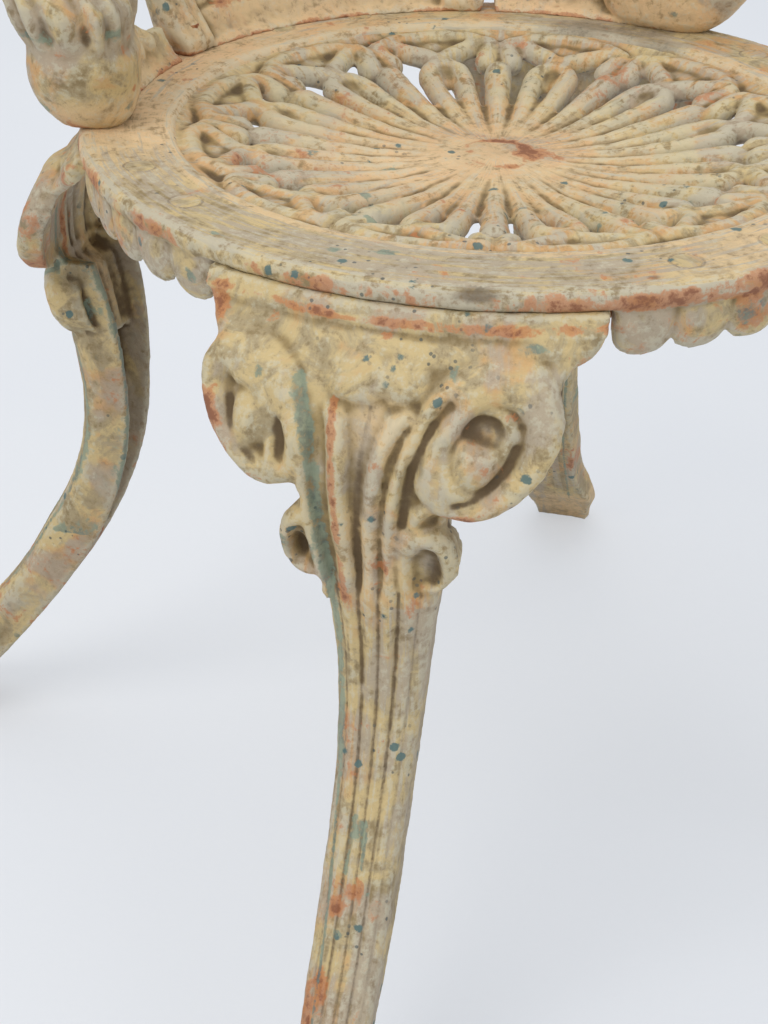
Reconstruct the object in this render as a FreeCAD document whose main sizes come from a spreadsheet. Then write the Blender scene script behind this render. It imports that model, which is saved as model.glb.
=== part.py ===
import FreeCAD, Part
import math
import os
from FreeCAD import Vector, Rotation, Placement

# Cast iron garden armchair. Millimetres, +Z up, origin on the floor under the centre of the round seat.
# The sitter faces -Y. Four legs, a dished openwork seat, a back and two arms are separate castings.

os.makedirs("parts", exist_ok=True)
doc = FreeCAD.newDocument("garden_armchair")

# Driving dimensions

SIZES = [
    ("seat_height", 435.0, "floor to the flat top of the rim"),
    ("rim_outer", 215.0, "outer radius of the rim"),
    ("rim_inner", 167.5, "inner radius of the rim's flat top"),
    ("rim_thick", 10.0, "thickness of the rim plate"),
    ("rim_edge", 3.0, "bevel of the rim's top edge"),
    ("dish_radius", 130.0, "radius where the sloping band meets the disc of spokes"),
    ("dish_depth", 21.0, "drop from the rim to the disc"),
    ("seat_web", 6.5, "thickness of the openwork"),
    ("boss_radius", 19.5, "raised boss at the middle of the seat"),
    ("boss_rise", 2.5, "height of that boss"),
    ("spoke_pairs", 12.0, "number of plain spokes, and of loops between them"),
    ("openwork_turn", 11.25, "turn of one plain spoke from the front leg's direction"),
    ("apron_drop", 25.0, "height of the scalloped apron below the rim plate"),
    ("apron_thick", 8.0, "thickness of the apron"),
    ("apron_inset", 1.5, "how far the apron stands back from the rim's edge"),
    ("scallops", 5.0, "number of scallops between two legs"),
    ("scallop_rise", 10.0, "height of the cusps above the lowest point of the scallops"),
    ("leg_half_angle", 25.4, "half of the angle that a leg's top plate takes up"),
    ("leg_gap_angle", 0.45, "angle of the gap between a leg's top plate and the apron"),
    ("leg_plate_drop", 18.0, "height of the leg's top plate"),
    ("leg_wall", 6.5, "wall of the leg's open-backed section"),
    ("ear_half_angle", 41.0, "half of the angle of the leg's flange under the rim"),
    ("ear_thick", 8.0, "thickness of that flange"),
    ("ear_inner", 174.0, "inner radius of that flange"),
    ("foot_reach", 371.0, "radius of the tip of a foot"),
    ("screw_angle", 37.4, "angle of the rim screws from the middle of a leg"),
    ("screw_circle", 192.0, "radius of the circle of rim screws"),
    ("screw_radius", 4.0, "radius of screws and bolts"),
    ("screw_head", 7.6, "radius of the flush countersunk head"),
    ("head_depth", 4.2, "depth of that head"),
    ("hole_play", 0.3, "clearance round a screw, on the radius"),
    ("nut_width", 13.0, "side of the square nuts and square bolt heads"),
    ("nut_thick", 6.5, "thickness of nuts and bolt heads"),
    ("nut_stand", 2.0, "screw length beyond a nut"),
    ("shell_base", 205.0, "radius of the back and arms at the rim"),
    ("shell_hip", 245.0, "radius of the back and arms at hip_height"),
    ("hip_height", 100.0, "height above the rim where the flare ends"),
    ("shell_top", 258.0, "radius of the back and arms at the very top"),
    ("shell_thick", 9.0, "thickness of the back and arm panels"),
    ("back_height", 405.0, "height of the back above the rim"),
    ("back_half_width", 146.0, "half width of the back"),
    ("hoop_width", 20.0, "width of the hoop round the back"),
    ("fan_gaps", 12.0, "number of openings in the fan of the back"),
    ("fan_centre", 92.0, "height of the fan's centre above the rim"),
    ("fan_boss", 30.0, "radius of the boss at the fan's centre"),
    ("arm_height", 207.0, "top of the armrest above the rim"),
    ("arm_front", 181.0, "direction of the armrest's front end"),
    ("rest_thick", 10.0, "thickness of the armrest"),
    ("rest_inner", 238.0, "inner radius of the armrest"),
    ("rest_outer", 271.0, "outer radius of the armrest"),
    ("arm_foot_angle", 150.0, "direction of the left arm's foot from the chair's right-hand side"),
    ("rail_inner", 196.0, "inner radius of the low rail that the back and arms stand on"),
    ("rail_height", 14.0, "height of that rail"),
    ("rail_angle", 61.0, "angle that the back's part of the rail takes up"),
    ("bolt_circle", 197.0, "radius of the circle of the back's and arms' bolts"),
    ("bolt_grip", 15.0, "depth of a bolt in a foot of the back or of an arm"),
    ("joint_angle", 123.0, "direction of the bolt that ties an arm to the back"),
    ("seat_play", 0.3, "gap between curved faces that lie on each other"),
]

sheet = doc.addObject("Spreadsheet::Sheet", "sizes")
for row, (alias, value, note) in enumerate(SIZES, start=1):
    sheet.set("A%d" % row, note)
    sheet.set("B%d" % row, repr(value))
    sheet.setAlias("B%d" % row, alias)
doc.recompute()


def size(alias):
    """A driving dimension, read back from the sheet."""
    return float(sheet.get(alias))


SEAT_Z = size("seat_height")
LEG_DIRECTIONS = {
    "rear_right_leg": 45.0,
    "rear_left_leg": 135.0,
    "front_left_leg": 225.0,
    "front_right_leg": 315.0,
}


# Drawing helpers

def polar(radius, degrees):
    """A point in the ground plan, from its radius and direction."""
    turn = math.radians(degrees)
    return radius * math.cos(turn), radius * math.sin(turn)


def beside(radius, off, axis):
    """A point at a radius, a distance to one side of an axis through the seat's middle."""
    return polar(radius, axis + math.degrees(math.asin(off / radius)))


class Outline:
    """A closed outline of lines and three-point arcs in a sketch's own plane."""

    def __init__(self, start):
        self.start = Vector(start[0], start[1], 0)
        self.here = self.start
        self.edges = []

    def line(self, *points):
        for point in points:
            there = Vector(point[0], point[1], 0)
            self.edges.append(Part.LineSegment(self.here, there))
            self.here = there
        return self

    def arc(self, through, to):
        middle = Vector(through[0], through[1], 0)
        there = Vector(to[0], to[1], 0)
        self.edges.append(Part.Arc(self.here, middle, there))
        self.here = there
        return self

    def close(self):
        if self.here.distanceToPoint(self.start) > 1e-6:
            self.edges.append(Part.LineSegment(self.here, self.start))
        return self.edges


def standing(turn):
    """The upright plane through the seat's axis in a direction: sketch X is the radius, Y the height."""
    return Placement(Vector(0, 0, SEAT_Z), Rotation(Vector(0, 0, 1), turn) * Rotation(Vector(1, 0, 0), 90))


def facing(turn):
    """The upright plane across a direction: sketch X runs to the right seen from outside, Y is the height."""
    return Placement(Vector(0, 0, SEAT_Z), Rotation(Vector(0, 0, 1), turn + 90) * Rotation(Vector(1, 0, 0), 90))


def bind(item, **formulas):
    """Tie an object's sizes to cells of the sheet."""
    for prop, formula in formulas.items():
        item.setExpression(prop, formula)


def free_sketch(name, edges, placement):
    sketch = doc.addObject("Sketcher::SketchObject", name)
    sketch.addGeometry(edges, False)
    sketch.Placement = placement
    return sketch


def revolved(name, edges, turn, angle):
    """A profile in the upright plane, swung about the seat's axis, half of the angle to each side."""
    sketch = free_sketch(name + "_profile", edges, standing(turn))
    solid = doc.addObject("Part::Revolution", name)
    solid.Source = sketch
    solid.Axis = Vector(0, 0, 1)
    solid.Base = Vector(0, 0, 0)
    solid.Symmetric = True
    solid.Solid = True
    bind(solid, Angle=angle)
    return solid


def outward(name, edge_lists, turn, reach):
    """Outlines seen from a direction, drawn from the middle of the chair outwards."""
    edges = [edge for outline in edge_lists for edge in outline]
    sketch = free_sketch(name + "_outline", edges, facing(turn))
    solid = doc.addObject("Part::Extrusion", name)
    solid.Base = sketch
    solid.DirMode = "Custom"
    solid.Dir = Vector(*polar(1, turn), 0)
    solid.Solid = True
    bind(solid, LengthFwd=reach)
    return solid


def across(name, edges, turn, width, offset=0.0):
    """A side view drawn out sideways, half of the width to each side of a line beside the direction."""
    sketch = free_sketch(name + "_side", edges, standing(turn))
    shift = Vector(*polar(offset, turn + 90), 0)
    sketch.Placement = Placement(sketch.Placement.Base + shift, sketch.Placement.Rotation)
    solid = doc.addObject("Part::Extrusion", name)
    solid.Base = sketch
    solid.DirMode = "Custom"
    solid.Dir = Vector(*polar(1, turn + 90), 0)
    solid.Symmetric = True
    solid.Solid = True
    bind(solid, LengthFwd=width)
    return solid


def common(name, first, second):
    solid = doc.addObject("Part::Common", name)
    solid.Base = first
    solid.Tool = second
    return solid


def cut(name, base, tool):
    solid = doc.addObject("Part::Cut", name)
    solid.Base = base
    solid.Tool = tool
    return solid


def fused(name, pieces):
    solid = doc.addObject("Part::MultiFuse", name)
    solid.Shapes = pieces
    solid.Refine = False
    return solid


def radial_place(turn, beside_it, height, near):
    """A frame whose Z points outwards; it starts at radius near, beside_it off the direction."""
    swing = math.degrees(math.atan2(beside_it, near))
    start = polar(near, turn + swing)
    return Placement(Vector(start[0], start[1], SEAT_Z + height),
                     Rotation(Vector(0, 0, 1), turn + swing) * Rotation(Vector(0, 1, 0), 90))


def radial_prism(name, turn, beside_it, height, near, radius, length, sides):
    """A boss or bore of many flat sides that points outwards from the seat's axis."""
    rod = doc.addObject("Part::Prism", name)
    rod.Polygon = sides
    bind(rod, Circumradius=radius, Height=length)
    rod.Placement = radial_place(turn, beside_it, height, near)
    return rod


def upright_prism(name, circle, turn, bottom, radius, length, sides=8):
    """A shank, head or bore that stands upright; bottom is its height above the rim's top."""
    rod = doc.addObject("Part::Prism", name)
    rod.Polygon = sides
    bind(rod, Circumradius=radius, Height=length)
    spot = polar(circle, turn)
    rod.Placement = Placement(Vector(spot[0], spot[1], SEAT_Z + bottom), Rotation(Vector(0, 0, 1), turn))
    return rod


def upright_block(name, circle, turn, bottom, side, height):
    """A square block, such as a nut, turned towards the seat's axis."""
    block = doc.addObject("Part::Box", name)
    bind(block, Length=side, Width=side, Height=height)
    turned = Rotation(Vector(0, 0, 1), turn)
    corner_shift = turned.multVec(Vector(-size("nut_width") / 2, -size("nut_width") / 2, 0))
    spot = polar(circle, turn)
    block.Placement = Placement(Vector(spot[0], spot[1], SEAT_Z + bottom) + corner_shift, turned)
    return block


def straight_runs(name, inner, outer, first, last, runs, bottom, height):
    """A flat bar that goes round the seat's axis in straight runs, from one direction to another."""
    directions = [first + (last - first) * number / runs for number in range(runs + 1)]
    chord = inner / math.cos(math.radians((last - first) / runs / 2))
    corners = [polar(outer, direction) for direction in directions]
    corners += [polar(chord, direction) for direction in reversed(directions)]
    sketch = free_sketch(name + "_plan", ring_of(corners), Placement(Vector(0, 0, SEAT_Z + bottom), Rotation()))
    bar = doc.addObject("Part::Extrusion", name)
    bar.Base = sketch
    bar.DirMode = "Custom"
    bar.Dir = Vector(0, 0, 1)
    bar.Solid = True
    bind(bar, LengthFwd=height)
    return bar


def flat_facets(name, levels, middle, pitch, count):
    """A round shell in flat facets, each as wide as one step of direction. levels holds
    (height, inner radius, outer radius) from low to high, measured square to each facet."""
    tangent = math.tan(math.radians(pitch / 2))
    facets = []
    for number in range(count):
        turn = middle + (number - (count - 1) / 2.0) * pitch
        for row, (low, high) in enumerate(zip(levels, levels[1:])):
            facet = doc.addObject("Part::Wedge", "%s_%02d_%d" % (name, number, row))
            facet.Ymin, facet.Ymax = low[0], high[0]
            facet.Xmin, facet.Xmax = -low[2] * tangent, low[2] * tangent
            facet.X2min, facet.X2max = -high[2] * tangent, high[2] * tangent
            facet.Zmin, facet.Zmax = low[1], low[2]
            facet.Z2min, facet.Z2max = high[1], high[2]
            facet.Placement = Placement(Vector(0, 0, SEAT_Z), Rotation(Vector(0, 0, 1), turn + 90)
                                        * Rotation(Vector(1, 0, 0), 90))
            facets.append(facet)
    return fused(name, facets)


def ring_of(points):
    """A closed outline of straight lines."""
    return Outline(points[0]).line(*points[1:]).close()


def both_hands(points):
    """The outline of a shape with two like halves, from the points of its right half, top to bottom."""
    other = [(-point[0], point[1]) for point in reversed(points) if point[0] > 0]
    return ring_of(points + other)


# Places of the screws and bolts, as directions round the seat

leg_screw_turns = [leg + side * size("screw_angle") for leg in LEG_DIRECTIONS.values() for side in (-1, 1)]
arm_left = size("arm_foot_angle")
arm_right = 180.0 - arm_left
BOLT_SPREAD = 3.6
BACK_FOOT = 27.0
arm_bolt_turns = [foot + side * BOLT_SPREAD for foot in (arm_left, arm_right) for side in (-1, 1)]
back_bolt_turns = [90.0 - BACK_FOOT, 90.0 + BACK_FOOT]


# Seat: rim, dished openwork and apron in one casting

rim_out = size("rim_outer")
rim_in = size("rim_inner")
rim_t = size("rim_thick")
edge_r = size("rim_edge")
apron_out = rim_out - size("apron_inset")
apron_in = apron_out - size("apron_thick")
apron_low = -rim_t - size("apron_drop")
web = size("seat_web")
dish_r = size("dish_radius")
dish_z = -size("dish_depth")
boss_r = size("boss_radius")
boss_z = dish_z + size("boss_rise")

FACETS = 24
facet_turn = 360.0 / FACETS
facet_cos = math.cos(math.radians(facet_turn / 2))
facet_tan = math.tan(math.radians(facet_turn / 2))
openwork_turn = 225.0 + size("openwork_turn")

rim = doc.addObject("PartDesign::Body", "rim")
doc.recompute()


def origin_plane(body, role):
    for feature in body.Origin.OriginFeatures:
        if feature.Role == role:
            return feature
    raise ValueError(role)


def body_sketch(body, name, role, edges, offset=None):
    sketch = body.newObject("Sketcher::SketchObject", name)
    sketch.AttachmentSupport = [(origin_plane(body, role), "")]
    sketch.MapMode = "FlatFace"
    if offset is not None:
        sketch.AttachmentOffset = offset
    sketch.addGeometry(edges, False)
    return sketch


section = Outline((rim_in - 8, 0)).line(
    (rim_out - edge_r, 0), (rim_out, -edge_r), (rim_out, -rim_t), (apron_out, -rim_t),
    (apron_out, apron_low), (apron_in, apron_low), (apron_in, -rim_t), (rim_in - 8, -rim_t))
rim_section = body_sketch(rim, "rim_section", "XZ_Plane", section.close())
rim_turned = rim.newObject("PartDesign::Revolution", "rim_turned")
rim_turned.Profile = rim_section
rim_turned.ReferenceAxis = (rim_section, ["V_Axis"])
rim_turned.Angle = 360
doc.recompute()

facet_corners = [polar(rim_in / facet_cos, openwork_turn + facet_turn * number) for number in range(FACETS)]
mouth_sketch = body_sketch(rim, "mouth", "XY_Plane", Outline(facet_corners[0]).line(*facet_corners[1:]).close())
mouth = rim.newObject("PartDesign::Pocket", "mouth_cut")
mouth.Profile = mouth_sketch
mouth.Type = "ThroughAll"
mouth.Midplane = True
doc.recompute()

# Apron: scallops between the legs, and a gap for each leg's top plate

apron_half = 45.0 - size("leg_half_angle") - size("leg_gap_angle")
scallops = int(round(size("scallops")))
scallop_pitch = 2 * apron_half / scallops
cusp_z = apron_low + size("scallop_rise")
below = apron_low - 5
scallop_points = [(-apron_half, cusp_z)]
for number in range(scallops):
    left = -apron_half + number * scallop_pitch
    for share, height in ((0.28, 0.0), (0.72, 0.0), (1.0, 1.0)):
        scallop_points.append((left + share * scallop_pitch, apron_low + 0.05 + height * size("scallop_rise")))
scallop_edge = Outline((apron_out * math.sin(math.radians(-apron_half)), below))
scallop_edge.line(*[(apron_out * math.sin(math.radians(turn)), height) for turn, height in scallop_points])
scallop_edge.line((apron_out * math.sin(math.radians(apron_half)), below))
apron_near = apron_in * math.cos(math.radians(apron_half)) - 5
scallop_sketch = body_sketch(rim, "scallop_edge", "YZ_Plane", scallop_edge.close(),
                             Placement(Vector(0, 0, apron_near), Rotation()))
scallop_cut = rim.newObject("PartDesign::Pocket", "scallop_cut")
scallop_cut.Profile = scallop_sketch
bind(scallop_cut, Length="sizes.rim_outer + 5 - %r" % apron_near)
scallop_cut.Reversed = True
before = rim.Shape.Volume
doc.recompute()
if scallop_cut.Shape.Volume > before - 1:
    raise RuntimeError("the scallops cut nothing")
scallop_ring = rim.newObject("PartDesign::PolarPattern", "scallop_ring")
scallop_ring.Originals = [scallop_cut]
scallop_ring.Axis = (rim_section, ["V_Axis"])
scallop_ring.Angle = 360
scallop_ring.Occurrences = len(LEG_DIRECTIONS)
rim.Tip = scallop_ring
doc.recompute()

gap_in = apron_in - 1
gap_out = rim_out + 5
gap_outline = Outline(polar(gap_in, apron_half))
gap_outline.line(polar(gap_out, apron_half))
gap_outline.arc(polar(gap_out, 45), polar(gap_out, 90 - apron_half))
gap_outline.line(polar(gap_in, 90 - apron_half))
gap_outline.arc(polar(gap_in, 45), polar(gap_in, apron_half))
gap_sketch = body_sketch(rim, "leg_gap", "XY_Plane", gap_outline.close(),
                         Placement(Vector(0, 0, -rim_t), Rotation()))
gap_cut = rim.newObject("PartDesign::Pocket", "leg_gap_cut")
gap_cut.Profile = gap_sketch
bind(gap_cut, Length="sizes.apron_drop + 5")
before = rim.Shape.Volume
doc.recompute()
if gap_cut.Shape.Volume > before - 1:
    raise RuntimeError("the leg gaps cut nothing")
gap_ring = rim.newObject("PartDesign::PolarPattern", "leg_gap_ring")
gap_ring.Originals = [gap_cut]
gap_ring.Axis = (rim_section, ["V_Axis"])
gap_ring.Angle = 360
gap_ring.Occurrences = len(LEG_DIRECTIONS)
rim.Tip = gap_ring

rim.Placement = Placement(Vector(0, 0, SEAT_Z), Rotation())
doc.recompute()

# Dish: a flat disc with a low boss, and a sloping band in flat facets between the disc and the rim

disc = doc.addObject("Part::Prism", "disc")
disc.Polygon = FACETS
bind(disc, Circumradius="sizes.dish_radius / %r" % facet_cos, Height="sizes.seat_web")
disc.Placement = Placement(Vector(0, 0, SEAT_Z + dish_z - web), Rotation(Vector(0, 0, 1), openwork_turn))
boss = doc.addObject("Part::Cone", "boss")
bind(boss, Radius1="sizes.boss_radius", Radius2="sizes.boss_radius - 3", Height="sizes.boss_rise + 1")
boss.Placement = Placement(Vector(0, 0, SEAT_Z + dish_z - 1), Rotation())
dish = [rim, disc, boss]
for number in range(FACETS):
    facet = doc.addObject("Part::Wedge", "band_%02d" % number)
    bind(facet, Xmin="-sizes.dish_radius * %r" % facet_tan, Xmax="sizes.dish_radius * %r" % facet_tan,
         X2min="-sizes.rim_inner * %r" % facet_tan, X2max="sizes.rim_inner * %r" % facet_tan,
         Ymin="sizes.dish_radius", Ymax="sizes.rim_inner",
         Zmin="-sizes.dish_depth - sizes.seat_web", Zmax="-sizes.dish_depth",
         Z2min="-sizes.rim_thick", Z2max="0")
    facet.Placement = Placement(Vector(0, 0, SEAT_Z), Rotation(
        Vector(0, 0, 1), openwork_turn - 90 + facet_turn * (number + 0.5)))
    dish.append(facet)

# Openwork: one twelfth of the pattern, from one plain spoke to the next, with the loop half way between

pairs = int(round(size("spoke_pairs")))
PITCH = 360.0 / pairs
HALF = PITCH / 2
GAP_START = 66.0
SPOKE_NOSE = 118.0
SPOKE_HALF = 6.8
LOOP_NOSE = 113.0
LOOP_HALF = 13.2
LINK_TOP = 162.5
LOOP_EYE = 104.0
LOOP_EYE_HALF = 3.6
LOOP_EYE_TIP = 77.0


def spoke_gap(axis, side):
    """The opening between a plain spoke and a loop, up into the curl of the loop's link;
    axis is the loop's direction and side, +1 or -1, the side of it."""
    spoke = axis + side * HALF
    gap = Outline(polar(GAP_START, (spoke + axis) / 2))
    gap.line(*[beside(radius, -side * off, spoke) for radius, off in (
        (SPOKE_NOSE, SPOKE_HALF), (131.0, 11.5), (138.0, 15.0), (145.0, 13.0), (152.0, 14.5))])
    gap.line(*[beside(radius, side * off, axis) for radius, off in (
        (145.0, 18.0), (LOOP_NOSE + 15, 8.5), (LOOP_NOSE + 9, 12.2), (LOOP_NOSE, LOOP_HALF))])
    return gap.close()


def loop_eye(axis):
    """The teardrop opening inside a loop's nose."""
    return ring_of([polar(LOOP_EYE_TIP, axis)] + [beside(LOOP_EYE + rise, off, axis) for rise, off in (
        (0.0, LOOP_EYE_HALF), (LOOP_EYE_HALF, 0.5 * LOOP_EYE_HALF),
        (LOOP_EYE_HALF, -0.5 * LOOP_EYE_HALF), (0.0, -LOOP_EYE_HALF))])


def link_crescent(axis):
    """The opening between the two arms of a loop's link and the rim."""
    return ring_of([beside(radius, off, axis) for radius, off in (
        (LINK_TOP, 16.0), (LINK_TOP, -16.0), (152.5, -14.0), (139.5, -2.5), (139.5, 2.5), (152.5, 14.0))])


def spoke_triangle(axis):
    """The small opening between two neighbouring links, outside a plain spoke's nose."""
    return ring_of([polar(148.0, axis), beside(LINK_TOP - 1, 6.0, axis), beside(LINK_TOP - 1, -6.0, axis)])


openwork_edges = []
for number in range(pairs):
    spoke = openwork_turn + number * PITCH
    loop = spoke + HALF
    openwork_edges += spoke_gap(loop, 1) + spoke_gap(loop, -1) + loop_eye(loop)
    openwork_edges += link_crescent(loop) + spoke_triangle(spoke)
openwork_sketch = free_sketch("openwork_outline", openwork_edges,
                              Placement(Vector(0, 0, SEAT_Z - 40), Rotation()))
openwork = doc.addObject("Part::Extrusion", "openwork")
openwork.Base = openwork_sketch
openwork.DirMode = "Custom"
openwork.Dir = Vector(0, 0, 1)
openwork.Solid = True
bind(openwork, LengthFwd="50")
doc.recompute()


# Bores through the rim: flush screws that hold the legs, bolts that hold the back and the arms

EAR_LOW = -rim_t - size("ear_thick")
BORE = "sizes.screw_radius + sizes.hole_play"
HEAD_SIDES = 10


def rim_bore(name, circle, turn):
    return upright_prism(name, circle, turn, EAR_LOW - 5, BORE, "sizes.rim_thick + sizes.ear_thick + 10")


rim_tools = []
for number, turn in enumerate(leg_screw_turns):
    rim_tools.append(rim_bore("screw_bore_%d" % number, size("screw_circle"), turn))
    rim_tools.append(upright_prism("screw_sink_%d" % number, size("screw_circle"), turn, -size("head_depth"),
                                   "sizes.screw_head + 0.2", "sizes.head_depth + 5", HEAD_SIDES))
for number, turn in enumerate(arm_bolt_turns + back_bolt_turns):
    rim_tools.append(rim_bore("bolt_bore_%d" % number, size("bolt_circle"), turn))
seat = cut("seat", cut("seat_open", fused("seat_cast", dish), openwork), fused("rim_bores", rim_tools))


# Legs: an open-backed head with two scrolls under the rim, an open-backed shaft, and a solid foot

PLATE_RADIUS = rim_out - 1.0
EAR_OUTER = apron_in - 1.0
FLOOR = -SEAT_Z
PLATE_LOW = -rim_t - size("leg_plate_drop")
wall = size("leg_wall")
reach = size("foot_reach")
plate_half = PLATE_RADIUS * math.sin(math.radians(size("leg_half_angle")))
SHAFT_FRONT = [(244.5, -92.0), (237.0, -132.0), (230.0, -165.0), (230.5, -205.0), (243.0, -250.0),
               (278.0, -314.0), (322.0, -370.0)]
SCROLL_OFF = 50.0
SCROLL_Z = -66.0


def along_front(outline, shift, backwards=False):
    """Follow the front of the shaft, moved outwards by shift."""
    points = [(radius + shift, height) for radius, height in SHAFT_FRONT]
    if backwards:
        points.reverse()
    if outline is None:
        outline = Outline(points[0])
    else:
        outline.line(points[0])
    for through, to in zip(points[1::2], points[2::2]):
        outline.arc(through, to)
    return outline


HEAD_FACETS = 6
head_pitch = 2 * size("leg_half_angle") / HEAD_FACETS
head_flat = math.cos(math.radians(head_pitch / 2))
plate_out = PLATE_RADIUS * head_flat
HEAD_LEVELS = [(-104.0, 244.0 - wall, 244.0), (-75.0, 244.0 - wall, 244.0), (-46.0, 236.0 - wall - 1, 236.0),
               (PLATE_LOW + 4, plate_out - wall - 1, plate_out), (-rim_t, plate_out - wall, plate_out)]


def head_front():
    return both_hands([
        (plate_half + 1, -rim_t + 1), (plate_half + 1, PLATE_LOW + 3), (plate_half - 12, PLATE_LOW - 11),
        (82.0, -50.0), (78.0, -66.0), (70.0, -80.0), (57.0, -91.0), (42.0, -97.0), (32.0, -101.0),
        (32.0, -104.5)])


def shaft_side():
    side = along_front(None, 0.0)
    side.line((reach - 14, FLOOR + 29))
    side.arc((reach - 3, FLOOR + 20), (reach, FLOOR + 8))
    side.line((reach - 5, FLOOR), (reach - 34, FLOOR), (reach - 40, FLOOR + 8))
    side.arc((272.0, -347.0), (231.0, -284.0))
    side.arc((209.0, -226.0), (205.0, -165.0))
    side.arc((209.0, -126.0), (222.0, -92.0))
    return side.close()


def shaft_front(inset=0.0):
    """The front view of the shaft with its two small volutes, or the same drawn in for the open back."""
    slim = [(23.0, -170.0), (20.5, -205.0), (18.0, -245.0)]
    if inset > 0:
        return both_hands([(28.0 - inset, -88.0), (28.0 - inset, -140.0)]
                          + [(off - inset, height) for off, height in slim] + [(18.0 - inset, -300.0)])
    return both_hands([(28.0, -88.0), (32.0, -107.0), (40.0, -112.0), (43.0, -121.0), (39.0, -132.0),
                       (28.0, -138.0)] + slim
                      + [(18.0, FLOOR + 52), (22.0, FLOOR + 38), (22.0, FLOOR + 5), (20.0, FLOOR)])


def shaft_hollow():
    """The side view of the shaft's open back, one wall behind the front."""
    hollow = Outline((245.0 - wall, -80.0))
    hollow.line((SHAFT_FRONT[0][0] - wall, SHAFT_FRONT[0][1]))
    hollow.arc((SHAFT_FRONT[1][0] - wall, SHAFT_FRONT[1][1]), (SHAFT_FRONT[2][0] - wall, SHAFT_FRONT[2][1]))
    hollow.arc((SHAFT_FRONT[3][0] - wall, SHAFT_FRONT[3][1]), (SHAFT_FRONT[4][0] - wall - 1, SHAFT_FRONT[4][1]))
    hollow.line((240.0, -290.0), (200.0, -290.0), (185.0, -226.0), (185.0, -80.0))
    return hollow.close()


def make_leg(node, turn):
    """One leg casting, under the rim in the direction turn."""
    shaft = common(node + "_shaft", across(node + "_bar", shaft_side(), turn, "100"),
                   outward(node + "_width", [shaft_front()], turn, "420"))
    hollow = common(node + "_hollow", across(node + "_trough", shaft_hollow(), turn, "90"),
                    outward(node + "_inset", [shaft_front(wall)], turn, "420"))
    head = common(node + "_head", flat_facets(node + "_shell", HEAD_LEVELS, turn, head_pitch, HEAD_FACETS),
                  outward(node + "_scrolled", [head_front()], turn, "420"))
    pieces = [cut(node + "_open_shaft", shaft, hollow), head,
              straight_runs(node + "_ear", size("ear_inner"), EAR_OUTER, turn - size("ear_half_angle"),
                            turn + size("ear_half_angle"), 8, EAR_LOW, "sizes.ear_thick"),
              straight_runs(node + "_shelf", EAR_OUTER - 6, PLATE_RADIUS - 3, turn - size("leg_half_angle"),
                            turn + size("leg_half_angle"), HEAD_FACETS, EAR_LOW, "sizes.ear_thick")]
    cuts = []
    for hand in (-1, 1):
        label = "%s_%s" % (node, "left" if hand < 0 else "right")
        pieces.append(radial_prism(label + "_scroll", turn, hand * SCROLL_OFF, SCROLL_Z, 232.0, "21", "12.5", 10))
        cuts.append(radial_prism(label + "_eye", turn, hand * SCROLL_OFF, SCROLL_Z, 240.0, "11", "15", 8))
        toe = ring_of([(reach - 8, FLOOR - 1), (reach + 5, FLOOR - 1), (reach + 5, FLOOR + 60),
                       (reach - 8, FLOOR + 60)])
        cuts.append(across(label + "_toe", toe, turn, "15", hand * 15.5))
    for number, screw_turn in enumerate(leg_screw_turns):
        if abs(math.remainder(screw_turn - turn, 360)) < 45:
            cuts.append(rim_bore("%s_screw_%d" % (node, number), size("screw_circle"), screw_turn))
    for number, bolt_turn in enumerate(arm_bolt_turns + back_bolt_turns):
        if abs(math.remainder(bolt_turn - turn, 360)) < 45:
            cuts.append(rim_bore("%s_bolt_%d" % (node, number), size("bolt_circle"), bolt_turn))
    return cut(node, fused(node + "_cast", pieces), fused(node + "_cuts", cuts))


legs = [make_leg(node, turn) for node, turn in LEG_DIRECTIONS.items()]


# Back and arms: panels that follow one flared round shell above the rim

shell_t = size("shell_thick")
hip = size("hip_height")
back_top = size("back_height")


def shell_radius(height):
    """Radius of the middle of the shell at a height above the rim."""
    if height < hip:
        return size("shell_base") + (size("shell_hip") - size("shell_base")) * height / hip
    return size("shell_hip") + (size("shell_top") - size("shell_hip")) * (height - hip) / (back_top - hip)


def shell_levels(low, high):
    heights = [low] + ([hip] if low < hip < high else []) + [high]
    return [(height, shell_radius(height) - shell_t / 2, shell_radius(height) + shell_t / 2)
            for height in heights]


# The facets' middles lie behind the chair and at the joints with the arms
JOINT_STEPS = 4
shell_pitch = (size("joint_angle") - 90.0) / JOINT_STEPS


back_half = size("back_half_width")
hoop = size("hoop_width")
fan_z = size("fan_centre")
BACK_ARCH = [(back_half, back_top - 160), (back_half - 9, back_top - 115), (back_half - 27, back_top - 78),
             (back_half - 54, back_top - 45), (back_half - 92, back_top - 17), (0.0, back_top)]


def hoop_inner_reach(direction):
    """Distance from the fan's centre to the inner edge of the hoop in a direction."""
    run, rise = polar(1, direction)
    edge = [(back_half - 26, 60.0), (back_half, 180.0)] + BACK_ARCH
    edge = edge + [(-x, z) for x, z in reversed(edge[:-1])]
    for (x1, z1), (x2, z2) in zip(edge, edge[1:]):
        across_x = x2 - x1
        across_z = z2 - z1
        length = math.hypot(across_x, across_z)
        base_x = x1 - across_z / length * hoop
        base_z = z1 + across_x / length * hoop - fan_z
        side = run * across_z - rise * across_x
        if abs(side) < 1e-9:
            continue
        distance = (base_x * across_z - base_z * across_x) / side
        share = ((distance * run - base_x) * across_x + (distance * rise - base_z) * across_z) / length ** 2
        if distance > 0 and -0.001 <= share <= 1.001:
            return distance
    raise ValueError("the fan misses the hoop")


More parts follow.
